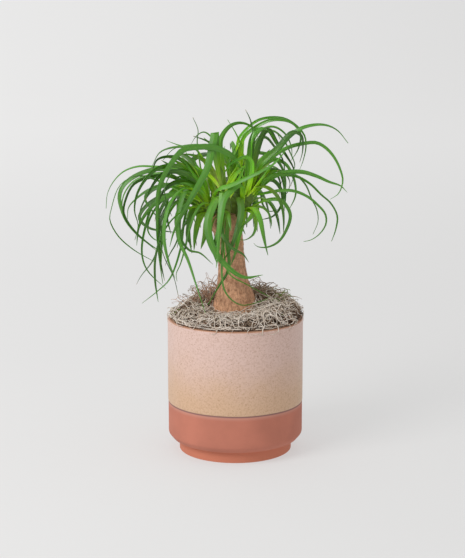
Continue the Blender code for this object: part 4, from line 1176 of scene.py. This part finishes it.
def smooth_route(points, count):
    """A smooth curve through the points, as count + 1 points at equal steps along it."""
    padded = [2 * points[0] - points[1]] + list(points) + [2 * points[-1] - points[-2]]
    dense = []
    per_span = 14
    for p0, p1, p2, p3 in zip(padded, padded[1:], padded[2:], padded[3:]):
        knots = [0]
        for a, b in ((p0, p1), (p1, p2), (p2, p3)):
            knots.append(knots[-1] + math.sqrt(max((b - a).length, 1e-6)))
        for i in range(per_span):
            t = knots[1] + (knots[2] - knots[1]) * i / per_span
            dense.append(blend_knots((p0, p1, p2, p3), knots, t))
    dense.append(points[-1])
    lengths = [0]
    for a, b in zip(dense, dense[1:]):
        lengths.append(lengths[-1] + (b - a).length)
    route = []
    at = 0
    for i in range(count + 1):
        target = lengths[-1] * i / count
        while at < len(dense) - 2 and lengths[at + 1] < target:
            at += 1
        share = (target - lengths[at]) / max(lengths[at + 1] - lengths[at], 1e-9)
        route.append(dense[at].lerp(dense[at + 1], min(1, share)))
    return route


def blend_knots(points, knots, t):
    """A point of the centripetal curve between the second and third of four points."""
    level = list(points)
    for spans in (((0, 1), (1, 2), (2, 3)), ((0, 2), (1, 3)), ((1, 2),)):
        level = [level[i].lerp(level[i + 1], (t - knots[low]) / (knots[high] - knots[low]))
                 for i, (low, high) in enumerate(spans)]
    return level[0]


def blade_width(share):
    """Width along a strap leaf, as a share of its widest: clasping root, long taper, fine tip."""
    root = 0.75 + 0.25 * min(1, share / 0.25)
    return root * max(0, 1 - share ** 3) ** 0.85


class Leaf:
    """One strap leaf: the shoot that it grows on, its route, its width, and how it turns.

    It rolls over by an angle, and turns the nearer of its faces to the front by one share at its
    middle and by another at its tip.
    """

    def __init__(self, name, points, width, roll=0, facing=(0, 0)):
        self.name = name
        self.points = points
        self.width = width * MM
        self.roll = roll
        self.facing = facing
        self.sections = self.along(segments_for(points))

    def along(self, count):
        """Middle, side, up and width of the blade, at count + 1 points of its route."""
        route = smooth_route(self.points, count)
        lead = smooth_route(self.points, 3)[1] - self.points[0]
        side = head_axis(self.name)[1].cross(lead)
        frames = []
        for i, point in enumerate(route):
            tangent = (route[min(i + 1, count)] - route[max(i - 1, 0)]).normalized()
            side = (side - tangent * side.dot(tangent)).normalized()
            turned = Matrix.Rotation(self.roll * min(1, i / count / TURNED_BY), 3, tangent) @ side
            frames.append((point, tangent, turned.cross(tangent), FRONT - tangent * FRONT.dot(tangent)))
        face = math.copysign(1, sum(up.dot(front) for _, _, up, front in frames))
        sections = []
        for i, (point, tangent, up, front) in enumerate(frames):
            share = i / count
            # Where a fold shows the other face, that one stays in front
            pull = max(-1, min(1, up.dot(front) / 0.35 + 0.6 * face))
            up = up.lerp(front * pull, self.turned(share)).normalized()
            sections.append((point, tangent.cross(up), up, self.width * blade_width(share)))
        return sections

    def turned(self, share):
        """How far the blade has turned its face to the front, at a share of its length."""
        middle, tip = self.facing
        if share < TURNED_BY:
            return middle * share / TURNED_BY
        return middle + (tip - middle) * (share - TURNED_BY) / (1 - TURNED_BY)


def blade_mesh(sections, grow=0):
    """Folded strap blade, thickest at its midrib, split into triangles alike on both faces."""
    bm = bmesh.new()
    rings = []
    narrow = max(section[3] for section in sections) < NARROW_BLADE * MM
    for middle, side, up, width in sections[:-1]:
        half = width / 2 + grow
        lift = up * BLADE_FOLD * width
        thick = up * (BLADE_THICKNESS / 2 + grow)
        corners = [middle + side * half + lift, middle + thick,
                   middle - side * half + lift, middle - thick]
        if narrow:
            corners.pop(1)
        rings.append([bm.verts.new(corner) for corner in corners])
    tip = bm.verts.new(sections[-1][0])
    around = list(range(len(rings[0])))
    sides = list(zip(around, around[1:] + around[:1]))
    for low, high in zip(rings, rings[1:]):
        for at, (i, j) in enumerate(sides):
            a, b, c, d = low[i], low[j], high[j], high[i]
            faces = ((a, b, d), (b, c, d)) if at % 2 else ((a, b, c), (a, c, d))
            for face in faces:
                bm.faces.new(face)
    for i, j in sides:
        bm.faces.new((rings[-1][i], rings[-1][j], tip))
    bm.faces.new(rings[0])
    bmesh.ops.recalc_face_normals(bm, faces=bm.faces)
    bmesh.ops.triangulate(bm, faces=bm.faces)
    return bm


def segments_for(points):
    """Enough segments for how much a route turns."""
    turning = 0
    for a, b, c in zip(points, points[1:], points[2:]):
        turning += (b - a).angle(c - b, 0)
    fewest, most = SEGMENTS
    return max(fewest, min(most, round(SPARE_SEGMENTS + math.degrees(turning) / TURN_PER_SEGMENT)))


def placed_points(name, row, shift):
    """World points of a listed leaf.

    Its nearness is shifted at the middle and at the tip, and its root along the shoot.
    """
    near_middle, near_tip, seen = row[3:]
    foot, axis, length = head_axis(name)
    first = seen[0][1] * MM
    lowest, highest = PLACED_ROOTS
    share = min(highest, max(lowest, 0.5 * (first - foot.z) / length - 0.05)) + shift[2]
    root = foot + axis * length * share
    lengths = [0]
    trail = [(root.x / MM, root.z / MM)] + list(seen)
    for a, b in zip(trail, trail[1:]):
        lengths.append(lengths[-1] + math.dist(a, b))
    near_root = -root.y / MM
    near_middle += shift[0]
    near_tip += shift[1]
    points = [root]
    for (across, height), at in zip(seen, lengths[1:]):
        t = at / lengths[-1]
        near = (near_root * (1 - t) * (1 - 2 * t) + near_middle * 4 * t * (1 - t)
                + near_tip * t * (2 * t - 1))
        points.append(Vector((across, -near, height + SEEN_TILT * near)) * MM)
    return points


def drawn_points(name, sort, order, rng):
    """World points of a drawn leaf: it rises from its shoot, arches over and hangs."""
    low, high = SECTORS[name]
    foot, axis, length = head_axis(name)
    youth = (order + 0.5) / sort["count"][name]
    turn = (order * GOLDEN_TURN + rng.uniform(-TURN_STRAY, TURN_STRAY)) % 1
    azimuth = math.radians(low + (high - low) * turn)
    root_low, root_high = sort["root"]
    root = foot + axis * length * (root_low + (root_high - root_low) * youth)
    rise_low, rise_high = sort["rise"]
    rise = math.radians(rise_low + (rise_high - rise_low) * youth + rng.uniform(-RISE_STRAY, RISE_STRAY))
    fall = math.radians(rng.uniform(*sort["fall"]))
    reach = rng.uniform(*sort["length"]) * MM
    power = math.log(0.5) / math.log(rng.uniform(*ARCH_AT))
    swing = math.radians(rng.uniform(-SWING_STRAY, SWING_STRAY))
    points = [root]
    steps = 24
    here = root.copy()
    for i in range(steps):
        t = (i + 0.5) / steps
        eased = t ** power
        slope = rise + (fall - rise) * eased * eased * (3 - 2 * eased)
        heading = azimuth + swing * t
        ahead = Vector((math.cos(slope) * math.cos(heading), math.cos(slope) * math.sin(heading),
                        math.sin(slope)))
        here = here + ahead * reach / steps
        # The route keeps one point in four
        if i % 4 == 3:
            points.append(here.copy())
    return points


def in_clear_window(points):
    """Whether a drawn leaf enters a window of the front view that stays open."""
    for point in points[2:]:
        across = point.x / MM
        height = point.z / MM + SEEN_TILT * point.y / MM
        for (left, right), (low, high) in CLEAR_WINDOWS:
            if left < across < right and low < height < high:
                return True
    return False


class Crown:
    """The leaves placed so far, and the tests that keep a new one clear of the rest."""

    def __init__(self, obstacles):
        self.obstacles = obstacles
        self.leaves = {name: [] for name in HEADS}
        self.whole = {name: [] for name in HEADS}
        self.outer = {name: [] for name in HEADS}
        self.shoots = {name: face_search(make_shoot(name, BLADE_CLEAR)) for name in HEADS}

    def clear_of_others(self, leaf):
        """Whether a leaf misses the trunk, the moss, the pot and every other head."""
        test = face_search(blade_mesh(leaf.sections, BLADE_CLEAR))
        if any(test.overlap(obstacle) for obstacle in self.obstacles):
            return False
        for other in HEADS:
            if other == leaf.name:
                continue
            if test.overlap(self.shoots[other]):
                return False
            if any(test.overlap(blade) for blade in self.whole[other]):
                return False
        return True

    def clear_of_own(self, leaf):
        """Whether a leaf misses the leaves of its own head, away from their roots."""
        test = face_search(blade_mesh(leaf.sections[2:], BLADE_CLEAR))
        return not any(test.overlap(blade) for blade in self.outer[leaf.name])

    def keep(self, leaf):
        """Add a leaf to its head."""
        self.leaves[leaf.name].append(leaf)
        self.whole[leaf.name].append(face_search(blade_mesh(leaf.sections)))
        self.outer[leaf.name].append(face_search(blade_mesh(leaf.sections[2:])))


def place_leaves(crown):
    """Listed leaves, the heads taking turns."""
    for order in range(max(len(rows) for rows in PLACED.values())):
        for at, (name, rows) in enumerate(PLACED.items()):
            if order < len(rows):
                place_leaf(crown, name, rows[order], random.Random(SEED + 10 * order + at))


def place_leaf(crown, name, row, rng):
    """One listed leaf: it keeps its look from the front and shifts in depth until clear."""
    spare = None
    facing = (row[1] / 100, row[2] / 100)
    for attempt in range(REDRAWS):
        reach = DEPTH_STRAY * attempt
        shift = (rng.uniform(-reach, reach), rng.uniform(-reach, reach),
                 rng.uniform(-ROOT_STRAY, ROOT_STRAY))
        leaf = Leaf(name, placed_points(name, row, shift), row[0], facing=facing)
        if not crown.clear_of_others(leaf):
            continue
        if crown.clear_of_own(leaf):
            crown.keep(leaf)
            return
        spare = spare or leaf
    if spare:
        crown.keep(spare)
    else:
        print("no room for a placed leaf of", name, row[-1][-1])


def draw_leaves(crown):
    """Leaves drawn by rule, sort by sort, the heads taking turns."""
    for kind, sort in enumerate(DRAWN):
        for order in range(max(sort["count"].values())):
            for at, (name, count) in enumerate(sort["count"].items()):
                if order < count:
                    rng = random.Random(SEED + 1000 * (kind + 1) + 10 * order + at)
                    draw_leaf(crown, name, sort, order, rng)


def draw_leaf(crown, name, sort, order, rng):
    """One drawn leaf, tried until it misses everything and stays out of the open windows."""
    for _ in range(REDRAWS):
        points = drawn_points(name, sort, order, rng)
        width = rng.uniform(*sort["width"])
        leaf = Leaf(name, points, width, roll=math.radians(rng.uniform(-ROLL_STRAY, ROLL_STRAY)))
        if in_clear_window(points):
            continue
        if crown.clear_of_others(leaf) and crown.clear_of_own(leaf):
            crown.keep(leaf)
            return
    print("no room for a drawn leaf of", name, sort["length"], order)


def grow_blade(bm, leaf, tint_value, twist):
    """Bend a flat grid into one channelled blade along its leaf's route."""
    tint = bm.verts.layers.float["tint"]
    reach = bm.verts.layers.float["reach"]
    made = bmesh.ops.create_grid(
        bm, x_segments=BLADE_ACROSS, y_segments=BLADE_ALONG, size=0.5, calc_uvs=True)
    sections = leaf.along(BLADE_ALONG)
    step = (sections[1][0] - sections[0][0]).length
    # The lower a leaf stands on its shoot, the older it is, and an old leaf is dark from its root on
    foot, axis, length = head_axis(leaf.name)
    share = (sections[0][0] - foot).dot(axis) / length
    old = held((OLD_BELOW - share) / OLD_SPAN)
    for at, vert in enumerate(made["verts"]):
        row, column = divmod(at, BLADE_ACROSS + 1)
        middle, side, up, width = sections[row]
        out = row / BLADE_ALONG
        across = 2 * column / BLADE_ACROSS - 1
        # The blade turns about its own middle on its way out
        turn = twist * out ** LATE_TWIST
        turned_side = side * math.cos(turn) + up * math.sin(turn)
        turned_up = up * math.cos(turn) - side * math.sin(turn)
        # A little slimmer than the solid, most so towards the tip
        width = max(width * (BLADE_SLIM - BLADE_SLIMMING * out), LEAST_WIDTH)
        ripple = RIPPLE * noise.noise(Vector((row / 6, across * 0.7, tint_value * 90)))
        lift = BLADE_FOLD * width * abs(across) ** 1.05 + ripple * min(1, width / (4 * MM))
        vert.co = middle + turned_side * across * width / 2 + turned_up * lift
        vert[tint] = tint_value
        vert[reach] = 10 * step * row + OLD_SHIFT * old


def blade_sheet(name, leaves, order):
    """Mesh of a head's blades before they have a thickness. The order of the heads seeds their looks."""
    tints = random.Random(TINT_SEED + order)
    twists = random.Random(order)
    bm = bmesh.new()
    bm.loops.layers.uv.new("blade")
    bm.verts.layers.float.new("tint")
    bm.verts.layers.float.new("reach")
    for leaf in leaves:
        grow_blade(bm, leaf, tints.random(), twists.uniform(-BLADE_TWIST, BLADE_TWIST))
    sheet = bpy.data.meshes.new(name)
    bm.to_mesh(sheet)
    bm.free()
    return sheet


def thicken(blades, thickness):
    """Give a sheet of blades its thickness. The new faces take the underside's finish."""
    solidify = blades.modifiers.new("Thickness", "SOLIDIFY")
    solidify.thickness = thickness
    solidify.offset = 0
    solidify.material_offset = 1
    mesh = finished_mesh(blades)
    blades.modifiers.clear()
    blades.data = mesh


def fine_shoot(name):
    """The shoot under the blades, wrapped in overlapping leaf bases."""
    foot, axis, length = head_axis(name)
    rows = [(at, radius, 0) for at, radius in SHOOT_ROWS]
    profile = [(0, 0)]
    for i in range(FINE_SHOOT_LAYERS + 1):
        at = i / FINE_SHOOT_LAYERS
        profile.append((STEM_RADIUS * rows_at(rows, at)[0], length * at))
    profile.append((0, length + SHOOT_POINT))
    shoot = spun(profile, FINE_SHOOT_STEPS)
    for vert in shoot.verts:
        angle = math.atan2(vert.co.y, vert.co.x)
        wrap = (vert.co.z / WRAP_PITCH + angle / math.pi) % 1
        lap = 1 + WRAP_DEPTH * (1 - wrap) - WRAP_DEPTH / 2
        vert.co = (vert.co.x * lap, vert.co.y * lap, vert.co.z)
    stand(shoot, foot, axis)
    mesh = bpy.data.meshes.new("shoot")
    shoot.to_mesh(mesh)
    shoot.free()
    return mesh


def add_shoot(mesh, name):
    """Join a head's shoot to the mesh of its blades, in the third of its finishes."""
    shoot = fine_shoot(name)
    bm = bmesh.new()
    bm.from_mesh(mesh)
    first = len(bm.faces)
    bm.from_mesh(shoot)
    bm.faces.ensure_lookup_table()
    for face in bm.faces[first:]:
        face.material_index = 2
    bm.to_mesh(mesh)
    bm.free()
    bpy.data.meshes.remove(shoot)


class PALM_OT_heads(bpy.types.Operator):
    """Grow the blades of every leaf head where the solids have them"""

    bl_idname = "palm.heads"
    bl_label = "Leaf heads"

    def execute(self, context):
        settings = context.scene.palm_leaf
        crown = Crown([packed_faces(node) for node in ("pot", "moss", "trunk")])
        place_leaves(crown)
        draw_leaves(crown)
        finishes = [strap_leaf("waxy_leaf_face", settings, True),
                    strap_leaf("waxy_leaf_underside", settings, False), leaf_sheath()]
        for at, (name, leaves) in enumerate(crown.leaves.items()):
            sheet = blade_sheet(name + "_blades", leaves, at)
            blades = bpy.data.objects.new(name + "_blades", sheet)
            context.scene.collection.objects.link(blades)
            for finish in finishes:
                sheet.materials.append(finish)
            thicken(blades, settings.thickness)
            add_shoot(blades.data, name)
            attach(blades, "root")
            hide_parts(name)
            smooth(blades, 20)
        return {"FINISHED"}


class PALM_OT_stage(bpy.types.Operator):
    """Set the floor, the soft light and the camera"""

    bl_idname = "palm.stage"
    bl_label = "Stage"

    def execute(self, context):
        settings = context.scene.palm_stage
        scene = context.scene
        # Floor that sweeps up into a wall behind
        outline = [(FLOOR_FRONT, 0)]
        outline += arc((SWEEP_RADIUS, SWEEP_RADIUS), SWEEP_RADIUS, -90, 0, 10)
        outline += [(2 * SWEEP_RADIUS, WALL_TOP)]
        bm = bmesh.new()
        rows = [[bm.verts.new((x, y, z)) for x in (-FLOOR_HALF, FLOOR_HALF)] for y, z in outline]
        for (a, b), (c, d) in zip(rows, rows[1:]):
            bm.faces.new((a, b, d, c))
        mesh = bpy.data.meshes.new("studio_sweep")
        bm.to_mesh(mesh)
        bm.free()
        sweep = bpy.data.objects.new("studio_sweep", mesh)
        scene.collection.objects.link(sweep)
        mesh.materials.append(sweep_with_painted_glow(settings.floor, settings.glow))
        mesh.shade_smooth()

        # Soft light from all round, brighter overhead
        world = bpy.data.worlds.new("soft_overhead_light")
        world.use_nodes = True
        sky = world.node_tree
        facing = add_node(sky, "TexCoord").outputs["Generated"]
        up = add_node(sky, "SeparateXYZ", links={0: facing}).outputs["Z"]
        below, above = SKY_SHARES
        power = add_node(sky, "MapRange",
                         {"To Min": below * settings.fill, "To Max": above * settings.fill},
                         {"Value": up})
        background = sky.nodes["Background"]
        adjust(background, {"Color": (1, 1, 1)})
        plug(sky, background, {"Strength": power})
        scene.world = world

        lamp = bpy.data.lights.new("key", "AREA")
        lamp.size = KEY_SIZE
        lamp.energy = settings.key
        holder = bpy.data.objects.new("key", lamp)
        holder.location = KEY_PLACE
        holder.rotation_euler = (KEY_AIM - KEY_PLACE).to_track_quat("-Z", "Y").to_euler()
        scene.collection.objects.link(holder)

        camera = bpy.data.cameras.new("camera")
        camera.lens = settings.lens
        camera.sensor_width = SENSOR_WIDTH
        holder = bpy.data.objects.new("camera", camera)
        back = Vector((0, -math.cos(VIEW_PITCH), math.sin(VIEW_PITCH)))
        holder.location = CAMERA_AIM + CAMERA_DISTANCE * back
        holder.rotation_euler = (math.pi / 2 - VIEW_PITCH, 0, 0)
        scene.collection.objects.link(holder)
        scene.camera = holder
        scene.view_settings.view_transform = "Standard"
        return {"FINISHED"}


STEPS = (PALM_OT_pot, PALM_OT_soil, PALM_OT_trunk, PALM_OT_moss, PALM_OT_heads, PALM_OT_stage)
GROUPS = {
    "palm_pot": PotSettings,
    "palm_trunk": TrunkSettings,
    "palm_moss": MossSettings,
    "palm_leaf": LeafSettings,
    "palm_stage": StageSettings,
}


class PALM_PT_panel(bpy.types.Panel):
    """The palm's pieces and their settings"""

    bl_label = "Potted ponytail palm"
    bl_space_type = "VIEW_3D"
    bl_region_type = "UI"
    bl_category = "Palm"

    def draw(self, context):
        for step in STEPS:
            self.layout.operator(step.bl_idname)
        for group in GROUPS:
            settings = getattr(context.scene, group)
            box = self.layout.box()
            for name in settings.__annotations__:
                box.prop(settings, name)


def register():
    """Register the settings, the operators and the panel."""
    for group, kind in GROUPS.items():
        bpy.utils.register_class(kind)
        setattr(bpy.types.Scene, group, PointerProperty(type=kind))
    for kind in STEPS + (PALM_PT_panel,):
        bpy.utils.register_class(kind)


def unregister():
    """Take the panel, the operators and the settings away again."""
    for kind in (PALM_PT_panel,) + STEPS:
        bpy.utils.unregister_class(kind)
    for group, kind in GROUPS.items():
        delattr(bpy.types.Scene, group)
        bpy.utils.unregister_class(kind)


def main():
    """Make every piece and the stage."""
    register()
    for step in (bpy.ops.palm.pot, bpy.ops.palm.soil, bpy.ops.palm.trunk, bpy.ops.palm.moss,
                 bpy.ops.palm.heads, bpy.ops.palm.stage):
        step()


if __name__ == "__main__":
    main()
